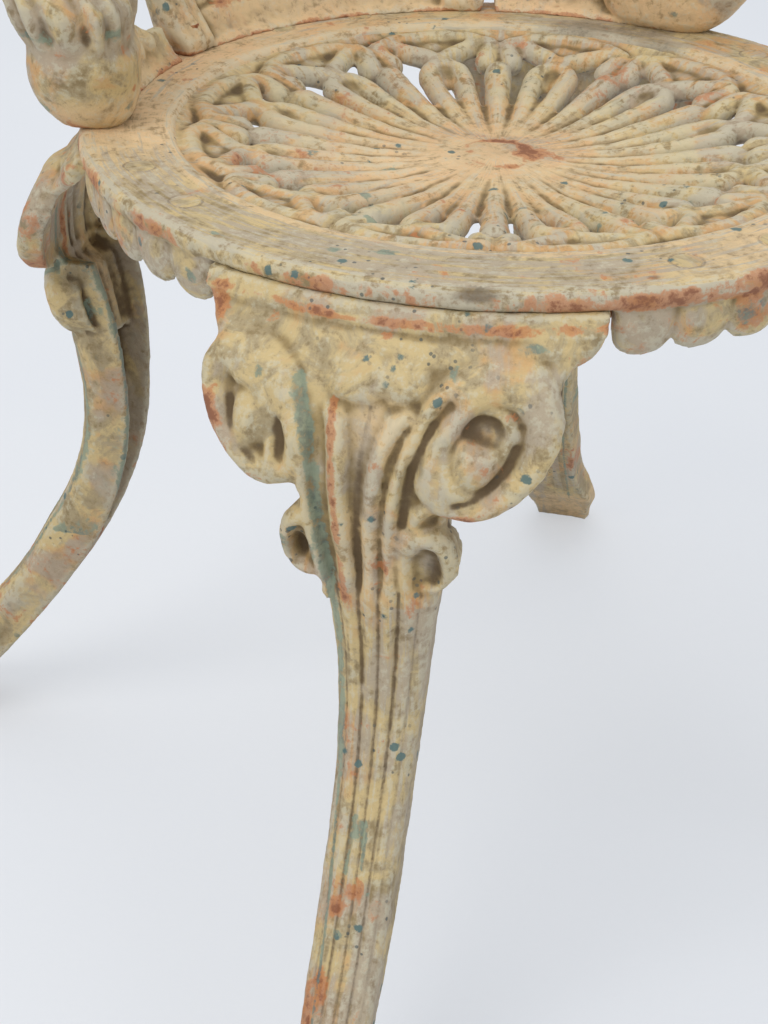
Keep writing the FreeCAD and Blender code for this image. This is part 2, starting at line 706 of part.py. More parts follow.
def fan_gap(start, end):
    """An opening of the fan between two ribs, from the boss to the hoop."""
    rib = 4.5
    near = size("fan_boss") + 6
    points = []
    for direction, hand in ((start, 1), (end, -1)):
        far = hoop_inner_reach(direction + hand * 1.5) - 1
        for distance in (near, far):
            along = polar(distance, direction)
            aside = polar(hand * rib, direction + 90)
            points.append((along[0] + aside[0], fan_z + along[1] + aside[1]))
    middle = polar(hoop_inner_reach((start + end) / 2) + 3, (start + end) / 2)
    return ring_of([points[0], points[1], (middle[0], fan_z + middle[1]), points[3], points[2]])


def back_front():
    outline = [(0.0, back_top)] + list(reversed(BACK_ARCH))[1:]
    outline += [(back_half, 180.0), (back_half - 13, 80.0), (108.0, 20.0), (106.0, 0.0)]
    return both_hands(outline)


FAN_LOW = -12.0
fan_count = int(round(size("fan_gaps")))
fan_pitch = (180.0 - 2 * FAN_LOW) / fan_count
fan_edges = [fan_gap(FAN_LOW + number * fan_pitch, FAN_LOW + (number + 1) * fan_pitch)
             for number in range(fan_count)]
back_panel = common("back_panel", flat_facets("back_shell", shell_levels(0, back_top), 90.0, shell_pitch,
                                              2 * JOINT_STEPS + 1),
                    outward("back_outline", [back_front()], 90.0, "320"))
rail_half = size("rail_angle") / 2
foot_profile = [(188.0, 0.0), (212.0, 0.0), (219.0, 30.0), (212.0, 30.0), (188.0, 14.0)]
back_rail = straight_runs("back_rail", size("rail_inner"), size("shell_base") + 3, 90.0 - rail_half,
                          90.0 + rail_half, 7, 0.0, "sizes.rail_height")
back_feet = [revolved("back_foot_%d" % number, ring_of(foot_profile), turn, "9.2")
             for number, turn in enumerate(back_bolt_turns)]
back_boss = radial_prism("fan_boss", 90.0, 0.0, fan_z, 236.0, "sizes.fan_boss", "17", 16)


def foot_bores(name, turns):
    """Blind bores up into the feet for the bolts."""
    return [upright_prism("%s_%d" % (name, number), size("bolt_circle"), turn, -1.0, BORE,
                          "sizes.bolt_grip + 2") for number, turn in enumerate(turns)]


def joint_bore(name, turn):
    return radial_prism(name, turn, 0.0, size("arm_height"), 225.0, BORE, "60", 8)


joint_left = size("joint_angle")
joint_turns = [180.0 - joint_left, joint_left]
back_cuts = [outward("fan", fan_edges, 90.0, "320")] + foot_bores("back_bore", back_bolt_turns)
back_cuts += [joint_bore("back_joint_%d" % number, turn) for number, turn in enumerate(joint_turns)]
back = cut("back", fused("back_cast", [back_panel, back_boss, back_rail] + back_feet), fused("back_cuts", back_cuts))

REST_LOW = size("arm_height") - size("rest_thick")
REST_REAR = 126.8
LUG_FACE = 263.0
RAIL_START = 90.0 + rail_half + 2.0
leaf_profile = [(190.0, 0.0), (223.0, 0.0), (234.0, 10.0), (239.0, 36.0), (250.0, 65.0), (249.5, 112.0),
                (241.0, 112.0), (216.0, 88.0), (182.0, 62.0), (186.0, 30.0)]
leaf_front = [(14.0, 112.0), (34.0, 88.0), (48.0, 66.0), (46.0, 50.0), (30.0, 22.0), (22.0, 6.0), (22.0, 0.0)]
post_side = [(28.0, REST_LOW + 1), (72.0, 165.0), (96.0, 135.0), (106.0, 100.0), (136.0, 100.0),
             (122.0, 148.0), (96.0, 178.0), (62.0, REST_LOW + 1)]


def make_arm(node, hand):
    """One arm casting; hand is +1 for the left arm and -1 for the right one."""

    def side_turn(turn):
        return turn if hand > 0 else 180.0 - turn

    foot = side_turn(arm_left)
    leaf = common(node + "_leaf", across(node + "_bulb", ring_of(leaf_profile), foot, "110"),
                  outward(node + "_leaf_front", [both_hands(leaf_front)], foot, "320"))
    post = common(node + "_post", flat_facets(node + "_shell", shell_levels(95.0, REST_LOW + 1),
                                              side_turn(157.5), 9.0, 5),
                  outward(node + "_post_side", [ring_of([(-hand * y, z) for y, z in post_side])],
                          side_turn(180.0), "320"))
    rest_ring = ring_of([(size("rest_inner"), REST_LOW), (size("rest_outer"), REST_LOW),
                         (size("rest_outer"), size("arm_height")), (size("rest_inner"), size("arm_height"))])
    rest = revolved(node + "_rest", rest_ring, side_turn((REST_REAR + size("arm_front")) / 2),
                    "sizes.arm_front - %r" % REST_REAR)
    end = upright_prism(node + "_end", (size("rest_inner") + size("rest_outer")) / 2,
                        side_turn(size("arm_front")), REST_LOW,
                        "(sizes.rest_outer - sizes.rest_inner) / 2 + 1.5", "sizes.rest_thick + 2", 16)
    low = REST_LOW - 5
    high = size("arm_height") + 15
    clear = shell_t / 2 + size("seat_play")
    lug = across(node + "_lug", ring_of([(shell_radius(low) + clear, low), (LUG_FACE, low),
                                         (LUG_FACE, high), (shell_radius(high) + clear, high)]),
                 side_turn(joint_left), "54", hand * 4.5)
    rail = straight_runs(node + "_rail", size("rail_inner"), size("shell_base") + 3,
                         *sorted((side_turn(RAIL_START), side_turn(arm_left))), 3, 0.0, "sizes.rail_height")
    bores = foot_bores(node + "_bore", [foot - BOLT_SPREAD, foot + BOLT_SPREAD])
    bores.append(joint_bore(node + "_joint", side_turn(joint_left)))
    return cut(node, fused(node + "_cast", [leaf, post, rest, end, lug, rail]), fused(node + "_cuts", bores))


arms = [make_arm("left_arm", 1), make_arm("right_arm", -1)]


# Screws, nuts and bolts; each kind is one group of like pieces

def square_nut(name, circle, turn, top):
    nut = upright_block(name + "_block", circle, turn, top - size("nut_thick"), "sizes.nut_width",
                        "sizes.nut_thick")
    thread = upright_prism(name + "_thread", circle, turn, top - size("nut_thick") - 1,
                           "sizes.screw_radius + 0.1", "sizes.nut_thick + 2")
    return cut(name, nut, thread)


def rim_bolt(name, turn):
    """A square-headed bolt from below, through flange and rim into a foot."""
    head = upright_block(name + "_head", size("bolt_circle"), turn, EAR_LOW - size("nut_thick"),
                         "sizes.nut_width", "sizes.nut_thick")
    shank = upright_prism(name + "_shank", size("bolt_circle"), turn, EAR_LOW - 1, "sizes.screw_radius",
                          "sizes.ear_thick + sizes.rim_thick + sizes.bolt_grip + 1")
    return fused(name, [head, shank])


screws = []
nuts = []
screw_low = EAR_LOW - size("nut_thick") - size("nut_stand")
for number, turn in enumerate(leg_screw_turns):
    head = upright_prism("screw_head_%d" % number, size("screw_circle"), turn, -size("head_depth"),
                         "sizes.screw_head", "sizes.head_depth", HEAD_SIDES)
    shank = upright_prism("screw_shank_%d" % number, size("screw_circle"), turn, screw_low,
                          "sizes.screw_radius", "%r - sizes.head_depth / 2" % -screw_low)
    screws += [head, shank]
    nuts.append(square_nut("screw_nut_%d" % number, size("screw_circle"), turn, EAR_LOW))
leg_screws = fused("leg_screws", screws)
leg_nuts = fused("leg_nuts", nuts)
arm_bolts = fused("arm_bolts", [rim_bolt("arm_bolt_%d" % number, turn)
                                for number, turn in enumerate(arm_bolt_turns)])
back_bolts = fused("back_bolts", [rim_bolt("back_bolt_%d" % number, turn)
                                  for number, turn in enumerate(back_bolt_turns)])


def radial_block(name, turn, height, near, side, length):
    """A square head or nut whose axis points outwards."""
    block = doc.addObject("Part::Box", name)
    bind(block, Length=side, Width=side, Height=length)
    place = radial_place(turn, 0.0, height, near)
    half = size("nut_width") / 2
    block.Placement = Placement(place.Base + place.Rotation.multVec(Vector(-half, -half, 0)), place.Rotation)
    return block


joint_z = size("arm_height")
nut_face = shell_radius(joint_z - size("nut_width") / 2) - shell_t / 2 - 0.25
nut_near = nut_face - size("nut_thick")
joint_bolt_pieces = []
joint_nut_pieces = []
for number, turn in enumerate(joint_turns):
    joint_bolt_pieces.append(radial_block("joint_head_%d" % number, turn, joint_z, LUG_FACE + 0.1,
                                          "sizes.nut_width", "sizes.nut_thick"))
    joint_bolt_pieces.append(radial_prism("joint_shank_%d" % number, turn, 0.0, joint_z,
                                          nut_near - size("nut_stand"), "sizes.screw_radius",
                                          "%r" % (LUG_FACE + 1 - nut_near + size("nut_stand")), 8))
    joint_nut_pieces.append(cut("joint_nut_%d" % number,
                                radial_block("joint_block_%d" % number, turn, joint_z, nut_near,
                                             "sizes.nut_width", "sizes.nut_thick"),
                                radial_prism("joint_thread_%d" % number, turn, 0.0, joint_z, nut_near - 1,
                                             "sizes.screw_radius + 0.1", "sizes.nut_thick + 2", 8)))
joint_bolts = fused("joint_bolts", joint_bolt_pieces)
joint_nuts = fused("joint_nuts", joint_nut_pieces)
doc.recompute()


# Check every object, then write one file for each piece

for item in doc.Objects:
    if "Invalid" in item.State or "Error" in item.State:
        raise RuntimeError("%s failed: %s" % (item.Name, item.State))

nodes = [seat] + legs + [back] + arms + [leg_screws, leg_nuts, arm_bolts, back_bolts, joint_bolts, joint_nuts]
for node in nodes:
    node.Label = node.Name
    if node.Shape.isNull() or not node.Shape.isValid():
        raise RuntimeError("%s has no valid shape" % node.Name)
for node in nodes:
    node.Shape.exportStep("parts/%s.step" % node.Label)
    print("%s: %d solid(s), %.1f cm3" % (node.Label, len(node.Shape.Solids), node.Shape.Volume / 1000))
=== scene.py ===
import bpy
import math
import numpy as np
from mathutils import Matrix, Vector, noise


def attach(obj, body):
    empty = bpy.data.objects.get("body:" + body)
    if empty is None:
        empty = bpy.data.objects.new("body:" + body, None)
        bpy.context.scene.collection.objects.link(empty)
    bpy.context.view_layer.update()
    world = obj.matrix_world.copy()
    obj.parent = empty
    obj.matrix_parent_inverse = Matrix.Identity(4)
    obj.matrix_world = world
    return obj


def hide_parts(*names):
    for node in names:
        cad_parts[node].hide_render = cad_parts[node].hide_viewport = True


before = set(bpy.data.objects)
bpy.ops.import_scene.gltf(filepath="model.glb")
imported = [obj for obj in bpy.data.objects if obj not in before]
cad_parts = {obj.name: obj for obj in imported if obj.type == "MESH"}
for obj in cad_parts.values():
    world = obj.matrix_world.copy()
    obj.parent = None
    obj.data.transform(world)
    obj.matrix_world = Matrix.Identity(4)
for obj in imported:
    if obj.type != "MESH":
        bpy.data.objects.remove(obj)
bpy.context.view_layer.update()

# Everything is drawn in millimetres above the floor and turned into metres when a mesh is made.
MM = 0.001
SEAT_TOP = 435.0
PATTERN_TURN = 236.25
PAIRS = 12
LEG_TURNS = {"rear_right_leg": 45.0, "rear_left_leg": 135.0, "front_left_leg": 225.0, "front_right_leg": 315.0}


# Mesh helpers

def mesh_of(name, points, faces):
    """A mesh from points in millimetres."""
    mesh = bpy.data.meshes.new(name)
    mesh.from_pydata([tuple(point) for point in np.asarray(points) * MM], [], faces)
    mesh.validate()
    return mesh


def thing(name, mesh):
    item = bpy.data.objects.new(name, mesh)
    bpy.context.scene.collection.objects.link(item)
    return item


def baked(item):
    """The item's modifiers become its mesh."""
    bpy.context.view_layer.update()
    graph = bpy.context.evaluated_depsgraph_get()
    mesh = bpy.data.meshes.new_from_object(item.evaluated_get(graph), depsgraph=graph)
    item.modifiers.clear()
    item.data = mesh
    return item


def points_of(mesh):
    flat = np.empty(len(mesh.vertices) * 3)
    mesh.vertices.foreach_get("co", flat)
    return flat.reshape(-1, 3) / MM


def set_points(mesh, points):
    mesh.vertices.foreach_set("co", (points * MM).ravel())
    mesh.update()


def edges_of(mesh):
    flat = np.empty(len(mesh.edges) * 2, dtype=np.int64)
    mesh.edges.foreach_get("vertices", flat)
    return flat.reshape(-1, 2)


def neighbour_mean(values, edges, count):
    """The mean of each point's neighbours."""
    total = np.zeros_like(values)
    for column in range(values.shape[1]):
        total[:, column] = (np.bincount(edges[:, 0], values[edges[:, 1], column], count)
                            + np.bincount(edges[:, 1], values[edges[:, 0], column], count))
    number = np.bincount(edges[:, 0], minlength=count) + np.bincount(edges[:, 1], minlength=count)
    return total / np.maximum(number, 1)[:, None]


def relax(mesh, rounds, pull=0.5):
    """Round off creases, as a casting's fillets are."""
    points = points_of(mesh)
    edges = edges_of(mesh)
    for step in range(rounds):
        points += (neighbour_mean(points, edges, len(points)) - points) * pull
    set_points(mesh, points)


def normals_of(mesh):
    flat = np.empty(len(mesh.vertices) * 3)
    mesh.vertex_normals.foreach_get("vector", flat)
    return flat.reshape(-1, 3)


def roughen(mesh, sizes):
    """Uneven old casting: sizes is a list of (wave length, height) in millimetres."""
    points = points_of(mesh)
    normals = normals_of(mesh)
    lift = np.zeros(len(points))
    for number, (length, height) in enumerate(sizes):
        shift = Vector((number * 17.3, number * 5.1, number * 9.7))
        lift += height * np.array([noise.noise(Vector(point) / length + shift) for point in points])
    set_points(mesh, points + normals * lift[:, None])


def mark_hollows_and_ridges(mesh):
    """Point attributes for the finish: hollows and edges (0..1), fine and broad. The finish darkens the hollows with
    dirt and painted shade, and pales the edges as worn paint and a faint painted highlight.
    """
    points = points_of(mesh)
    normals = normals_of(mesh)
    edges = edges_of(mesh)
    count = len(points)
    smooth = points.copy()
    results = {}
    steps = 0
    for label, rounds in (("fine", 6), ("broad", 40)):
        while steps < rounds:
            smooth = 0.3 * smooth + 0.7 * neighbour_mean(smooth, edges, count)
            steps += 1
        results[label] = ((smooth - points) * normals).sum(axis=1)
    for label, scale in (("fine", 0.5), ("broad", 2.4)):
        value = results[label] / scale
        value = neighbour_mean(value[:, None], edges, count)[:, 0] * 0.5 + value * 0.5
        stain(mesh, "hollow_" + label, value)
        stain(mesh, "edge_" + label, -value)


def stain(mesh, kind, values):
    """Paint a point attribute that the finish reads."""
    layer = mesh.attributes.new(kind, "FLOAT", "POINT")
    layer.data.foreach_set("value", np.clip(values, 0, 1).astype(np.float32))


def patches(across, up, marks):
    """Soft-edged patches at (across, up), each with its half width and half height."""
    value = np.zeros(across.shape)
    for x, y, wide, high in marks:
        value = np.maximum(value, 1.4 - np.hypot((across - x) / wide, (up - y) / high))
    return np.clip(value, 0, 1)


def round_places(mesh):
    """Each point's reach from the seat's axis, its direction in degrees and its height from the rim's top."""
    points = points_of(mesh)
    return (np.hypot(points[:, 0], points[:, 1]), np.degrees(np.arctan2(points[:, 1], points[:, 0])) % 360,
            points[:, 2] - SEAT_TOP)


def cast(name, parts, grain, rounds, rough, node, finish):
    """Join rough shapes into one skin of even small faces, round its creases and replace CAD nodes with it."""
    item = thing(name, mesh_of(name, *joined(parts)))
    skin = item.modifiers.new("skin", "REMESH")
    skin.mode = "VOXEL"
    skin.voxel_size = grain * MM
    baked(item)
    relax(item.data, rounds)
    if rough:
        roughen(item.data, rough)
    mark_hollows_and_ridges(item.data)
    for polygon in item.data.polygons:
        polygon.use_smooth = True
    item.data.materials.append(finish)
    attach(item, "root")
    if node:
        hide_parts(node)
    return item


# Shapes for casting: each gives (points, faces)

def walls(count, ring, closed=False):
    """The faces between rings of points, one ring after another."""
    faces = []
    for step in range(count if closed else count - 1):
        low, high = step * ring, (step + 1) % count * ring
        faces += [(low + number, low + (number + 1) % ring, high + (number + 1) % ring, high + number)
                  for number in range(ring)]
    return faces


def lofted(rings):
    """Closed sections of equal length, one after another, with both ends closed."""
    ring = len(rings[0])
    points = [tuple(point) for section in rings for point in section]
    ends = [tuple(reversed(range(ring))), tuple(range(len(points) - ring, len(points)))]
    return points, walls(len(rings), ring) + ends


def rod(path, radii, sides=10, flat=1.0, up=(0, 0, 1)):
    """A round-ended rod along a path, with a radius at each point; flat squeezes it along up."""
    path = [Vector(point) for point in path]

    def ring(index, share=1.0, way=0):
        """The section at a point, or a smaller one beyond it in the rounded end."""
        ahead = (path[min(index + 1, len(path) - 1)] - path[max(index - 1, 0)]).normalized()
        side = ahead.cross(Vector(up))
        if side.length < 1e-3:
            side = ahead.cross(Vector((1, 0.3, 0.1)))
        side.normalize()
        rise = side.cross(ahead).normalized()
        centre = path[index] + ahead * way * radii[index] * math.sqrt(1 - share * share)
        size = radii[index] * share
        turns = [2 * math.pi * number / sides for number in range(sides)]
        return [centre + side * size * math.cos(turn) + rise * size * flat * math.sin(turn) for turn in turns]

    last = len(path) - 1
    return lofted([ring(0, 0.35, -1), ring(0, 0.8, -1)] + [ring(index) for index in range(len(path))]
                  + [ring(last, 0.8, 1), ring(last, 0.35, 1)])


def lathe(profile, steps=288, start=0.0, sweep=360.0, shape=None, base=SEAT_TOP):
    """A closed profile of (radius, height above base) turned about the axis; shape may move each point."""
    full = sweep >= 360.0
    count = steps if full else steps + 1
    points = []
    for step in range(count):
        turn = math.radians(start + sweep * step / steps)
        for radius, height in profile:
            if shape:
                radius, height = shape(radius, height, math.degrees(turn))
            points.append((radius * math.cos(turn), radius * math.sin(turn), base + height))
    ring = len(profile)
    faces = walls(count, ring, full)
    if not full:
        faces += [tuple(range(ring)), tuple(reversed(range(steps * ring, steps * ring + ring)))]
    return points, faces


def smooth_step(value, low, high):
    share = np.clip((value - low) / (high - low), 0.0, 1.0)
    return share * share * (3 - 2 * share)


def along(values, heights):
    """A smooth curve through (height, value) pairs, read at many heights."""
    known = sorted(values)
    xs = np.array([pair[0] for pair in known], dtype=float)
    ys = np.array([pair[1] for pair in known], dtype=float)
    slopes = np.gradient(ys, xs)
    place = np.clip(np.searchsorted(xs, heights) - 1, 0, len(xs) - 2)
    gap = xs[place + 1] - xs[place]
    share = np.clip((heights - xs[place]) / gap, 0, 1)
    after = place + 1
    return ((2 * share ** 3 - 3 * share ** 2 + 1) * ys[place]
            + (share ** 3 - 2 * share ** 2 + share) * gap * slopes[place]
            + (-2 * share ** 3 + 3 * share ** 2) * ys[after] + (share ** 3 - share ** 2) * gap * slopes[after])


def ring_tree():
    """Geometry Nodes: copies of a shape turned about the vertical axis, as one plain mesh."""
    tree = bpy.data.node_groups.new("ring_of_copies", "GeometryNodeTree")
    sockets = {}
    for label, kind in (("Shape", "Geometry"), ("Count", "Int"), ("First turn", "Float"), ("Step", "Float"),
                        ("Finish", "Material")):
        sockets[label] = tree.interface.new_socket(label, in_out="INPUT", socket_type="NodeSocket" + kind).identifier
    tree.interface.new_socket("Shape", in_out="OUTPUT", socket_type="NodeSocketGeometry")
    add = tree.nodes.new
    link = tree.links.new
    given = add("NodeGroupInput")
    spots = add("GeometryNodePoints")
    link(given.outputs["Count"], spots.inputs["Count"])
    turn = add("ShaderNodeMath")
    turn.operation = "MULTIPLY_ADD"
    link(add("GeometryNodeInputIndex").outputs[0], turn.inputs[0])
    link(given.outputs["Step"], turn.inputs[1])
    link(given.outputs["First turn"], turn.inputs[2])
    spin = add("ShaderNodeCombineXYZ")
    link(turn.outputs[0], spin.inputs["Z"])
    copies = add("GeometryNodeInstanceOnPoints")
    link(spots.outputs[0], copies.inputs["Points"])
    link(given.outputs["Shape"], copies.inputs["Instance"])
    link(spin.outputs[0], copies.inputs["Rotation"])
    real = add("GeometryNodeRealizeInstances")
    link(copies.outputs[0], real.inputs[0])
    painted = add("GeometryNodeSetMaterial")
    link(real.outputs[0], painted.inputs["Geometry"])
    link(given.outputs["Finish"], painted.inputs["Material"])
    done = add("NodeGroupOutput")
    link(painted.outputs[0], done.inputs[0])
    return tree, sockets


RING_TREE, RING_SOCKETS = ring_tree()


def ringed(part, count, first, step, finish):
    """A ring of copies of a shape about the seat's axis; angles in degrees."""
    item = thing("ring", mesh_of("ring", *part))
    item.data.materials.append(finish)
    nodes = item.modifiers.new("ring", "NODES")
    nodes.node_group = RING_TREE
    nodes[RING_SOCKETS["Count"]] = count
    nodes[RING_SOCKETS["First turn"]] = math.radians(first)
    nodes[RING_SOCKETS["Step"]] = math.radians(step)
    nodes[RING_SOCKETS["Finish"]] = finish
    baked(item)
    shape = points_of(item.data), [tuple(polygon.vertices) for polygon in item.data.polygons]
    bpy.data.objects.remove(item)
    return shape


def joined(parts):
    points = []
    faces = []
    for part_points, part_faces in parts:
        start = len(points)
        points += [tuple(point) for point in part_points]
        faces += [tuple(index + start for index in face) for face in part_faces]
    return points, faces


# Finish: old cream paint over iron, weathered to ochre and lilac grey, with rust, dirt and specks of teal, painted
# shade in hollows and creases, and a faint painted highlight on edges

class Wire:
    """A socket in a material's tree; sums on it add Math nodes."""

    def __init__(self, tree, socket):
        self.tree = tree
        self.socket = socket

    def _sum(self, operation, first, second, clamp=False):
        return self.tree.add("ShaderNodeMath", {"operation": operation, "use_clamp": clamp}, [first, second])

    def __add__(self, other):
        return self._sum("ADD", self, other)

    def __radd__(self, other):
        return self._sum("ADD", other, self)

    def __sub__(self, other):
        return self._sum("SUBTRACT", self, other)

    def __rsub__(self, other):
        return self._sum("SUBTRACT", other, self)

    def __mul__(self, other):
        return self._sum("MULTIPLY", self, other)

    def __rmul__(self, other):
        return self._sum("MULTIPLY", other, self)

    def within(self, low, high):
        """0 below low, 1 above high, smooth between."""
        return self.tree.add("ShaderNodeMapRange", {"interpolation_type": "SMOOTHSTEP"},
                             {"Value": self, "From Min": low, "From Max": high})

    def clipped(self):
        return self._sum("ADD", self, 0.0, clamp=True)


class Finish:
    """A material's node tree, written as expressions."""

    def __init__(self, name):
        self.material = bpy.data.materials.new(name)
        self.material.use_nodes = True
        self.nodes = self.material.node_tree.nodes
        self.links = self.material.node_tree.links
        self.nodes.clear()
        self.skin = self.nodes.new("ShaderNodeBsdfPrincipled")
        self.output = self.nodes.new("ShaderNodeOutputMaterial")
        self.links.new(self.skin.outputs[0], self.output.inputs[0])

    def add(self, kind, settings=None, values=None, out=0):
        node = self.nodes.new(kind)
        for key, value in (settings or {}).items():
            setattr(node, key, value)
        pairs = values.items() if isinstance(values, dict) else enumerate(values or [])
        for key, value in pairs:
            self.put(node.inputs[key], value)
        return Wire(self, node.outputs[out])

    def put(self, socket, value):
        if isinstance(value, Wire):
            self.links.new(value.socket, socket)
        elif isinstance(value, (tuple, list)) and len(value) == 3 and socket.type == "RGBA":
            socket.default_value = tuple(value) + (1.0,)
        else:
            socket.default_value = value

    def skin_out(self):
        return Wire(self, self.skin.outputs[0])

    def place(self):
        return self.add("ShaderNodeTexCoord", out=3)

    def vector(self, operation, first, second=(0, 0, 0), out=0):
        return self.add("ShaderNodeVectorMath", {"operation": operation}, [first, second], out=out)

    def cloud(self, where, scale, detail=3.0, rough=0.5, twist=0.0):
        return self.add("ShaderNodeTexNoise", {"noise_dimensions": "3D"},
                        {"Vector": where, "Scale": scale, "Detail": detail, "Roughness": rough, "Distortion": twist})

    def cells(self, where, scale):
        return self.add("ShaderNodeTexVoronoi", {"feature": "F1"}, {"Vector": where, "Scale": scale})

    def point_value(self, name):
        return self.add("ShaderNodeAttribute", {"attribute_name": name}, out=2)

    def blend(self, share, first, second):
        return self.add("ShaderNodeMix", {"data_type": "RGBA", "blend_type": "MIX"},
                        {0: share, 6: first, 7: second}, out=2)

    def grain(self, run):
        """Where the brush marks lie: round the seat, out from its middle, or down a leg."""
        where = self.place()
        flat = self.vector("MULTIPLY", where, (1, 1, 0))
        if run == "round":
            reach = self.vector("LENGTH", flat, out=1)
            along_one = self.vector("DOT_PRODUCT", where, (24, 9, 20), out=1)
            along_other = self.vector("DOT_PRODUCT", where, (-9, 24, 12), out=1)
            return self.add("ShaderNodeCombineXYZ", None, [reach * 380.0, along_one, along_other])
        ahead = self.vector("NORMALIZE", flat)
        if run == "outward":
            reach = self.vector("LENGTH", flat, out=1)
            return self.vector("ADD", self.vector("MULTIPLY", ahead, (34, 34, 34)),
                               self.add("ShaderNodeCombineXYZ", None, [0.0, 0.0, reach * 30.0]))
        down = self.vector("MULTIPLY", where, (0, 0, 22))
        return self.vector("ADD", self.vector("MULTIPLY", ahead, (75, 75, 75)), down)

    def surface(self, colour, height, strength, distance, rough=None):
        """Colour, bump and roughness of the skin."""
        self.put(self.skin.inputs["Base Color"], colour)
        if rough:
            self.put(self.skin.inputs["Roughness"], rough.clipped())
        bump = {"Height": height, "Strength": strength, "Distance": distance}
        self.put(self.skin.inputs["Normal"], self.add("ShaderNodeBump", None, bump))


def srgb(red, green, blue):
    """A colour from the 0..255 numbers that a screen shows."""
    def linear(value):
        value /= 255.0
        return value / 12.92 if value <= 0.04045 else ((value + 0.055) / 1.055) ** 2.4
    return linear(red), linear(green), linear(blue)


GREIGE = srgb(161, 145, 111)
CREAM = srgb(190, 168, 120)
ORANGE = srgb(190, 144, 92)
BLUSH = srgb(216, 184, 142)
LILAC = srgb(163, 150, 130)
PALE = srgb(192, 187, 163)
OLIVE = srgb(116, 95, 54)
BROWN = srgb(78, 60, 38)
RUST = srgb(176, 110, 62)
RED_RUST = srgb(116, 66, 42)
TEAL = srgb(74, 102, 100)
TEAL_PALE = srgb(122, 138, 118)
INK = srgb(48, 66, 70)


def weathered_iron(name, run, peach=0.0, grey=0.0, rust=0.0, streaks=0.0, reeded=False):
    """run is the brush marks' direction; the others push the balance of the layers; reeded keeps the marks
    to the parts that are painted "reeded"."""
    f = Finish(name)
    where = f.place()
    broad = f.cloud(where, 21.0, 3.0, 0.55, 0.9)
    patch = f.cloud(where, 58.0, 5.0, 0.66, 0.8)
    fine = f.cloud(where, 220.0, 4.0, 0.68)
    drawn = f.cloud(f.grain(run), 1.0, 4.0, 0.62, 0.5)
    if reeded:
        still = f.cloud(where, 36.0, 4.0, 0.7, 0.6)
        drawn = still + (drawn - still) * (0.25 + f.point_value("reeded") * 0.6)
    hollow = f.point_value("hollow_fine")
    deep = f.point_value("hollow_broad")
    edge = f.point_value("edge_fine")
    crown = f.point_value("edge_broad")
    film = f.point_value("grey")

    # the crown term lifts raised parts slightly towards cream: worn paint and a faint painted highlight
    colour = f.blend((patch * 0.7 + drawn * 0.3 + crown * 0.05).within(0.43, 0.56), GREIGE, CREAM)
    warm = broad * 0.65 + patch * 0.35 + peach - film * 0.10
    colour = f.blend(warm.within(0.49, 0.60) * 0.8, colour, ORANGE)
    colour = f.blend(f.point_value("cream") * (0.35 + patch * 0.8), colour, BLUSH)
    cool = drawn * (0.5 + streaks) + broad * (0.5 - streaks) + film * 0.10 + grey - f.point_value("cream") * 0.04
    colour = f.blend(cool.within(0.50, 0.59) * 0.85, colour, LILAC)
    # pale on edges and crowns: worn paint, partly a painted highlight on raised parts
    colour = f.blend((fine * 0.55 + drawn * 0.35 + edge * 0.10 + crown * 0.05).within(0.48, 0.56) * 0.45, colour, PALE)
    colour = f.blend((1.0 - patch * 0.3 - fine * 0.42 - drawn * 0.28).within(0.515, 0.62) * 0.62, colour, OLIVE)
    # hollows turn olive and brown: partly dirt, partly painted shade in hollows, creases and under parts; the "dark"
    # stain adds painted shade and dark marks where it is laid
    sunk = deep * 1.2 + hollow * 0.6 + (patch - 0.5) * 1.2
    colour = f.blend(sunk.within(0.1, 1.0) * 0.75, colour, OLIVE)
    dirt_and_shade = hollow * 0.9 + deep * 0.7 + f.point_value("dark") * 1.5 + (fine - 0.5) * 1.4
    colour = f.blend(dirt_and_shade.within(0.6, 1.7) * 0.8, colour, BROWN)
    rusty = (patch * 0.5 + fine * 0.4 + broad * 0.1 + (broad - 0.5) * 0.4 + edge * 0.03
             + f.point_value("rust") * 0.17 + rust)
    colour = f.blend(rusty.within(0.60, 0.68) * 0.7, colour, RUST)
    colour = f.blend(rusty.within(0.69, 0.78) * 0.75, colour, RED_RUST)
    stain = f.point_value("teal") * 0.46 + (fine * 0.4 + patch * 0.3 + drawn * 0.3 - 0.5) * 2.0
    paint = f.blend((drawn * 0.6 + fine * 0.4).within(0.44, 0.56), TEAL, TEAL_PALE)
    colour = f.blend(stain.within(0.28, 0.46) * 0.75, colour, paint)
    chance = f.cloud(where, 17.0, 1.0)
    spots = f.cells(where, 62.0) + (fine - 0.5) * 0.25
    colour = f.blend((1.0 - spots.within(0.12, 0.17)) * chance.within(0.53, 0.57) * 0.9, colour, TEAL)
    dots = f.cells(where, 150.0) + (fine - 0.5) * 0.2
    colour = f.blend((1.0 - dots.within(0.11, 0.17)) * chance.within(0.50, 0.64) * 0.7, colour, INK)
    f.skin.inputs["Specular IOR Level"].default_value = 0.4
    f.surface(colour, fine * 0.9 + drawn * 0.5 + patch * 0.5, 0.6, 0.0014,
              0.55 + fine * 0.3 - crown * 0.08 + hollow * 0.1)
    return f.material


iron_seat = weathered_iron("seat_paint", "outward", peach=0.045)
iron_rim = weathered_iron("rim_paint", "round", peach=0.02, grey=-0.015, streaks=0.3)
iron_leg = weathered_iron("leg_paint", "down", grey=0.008, reeded=True)
iron_back = weathered_iron("back_paint", "down", peach=0.02, reeded=True)


# Seat: dished openwork of plain spokes, hairpin loops and their curled links

DISH = [(0, -17.2), (20, -18.2), (45, -18.8), (66, -17.9), (85, -15.4), (105, -12.0), (131, -7.5), (145, -4.6),
        (158, -2.4), (175, -0.8)]


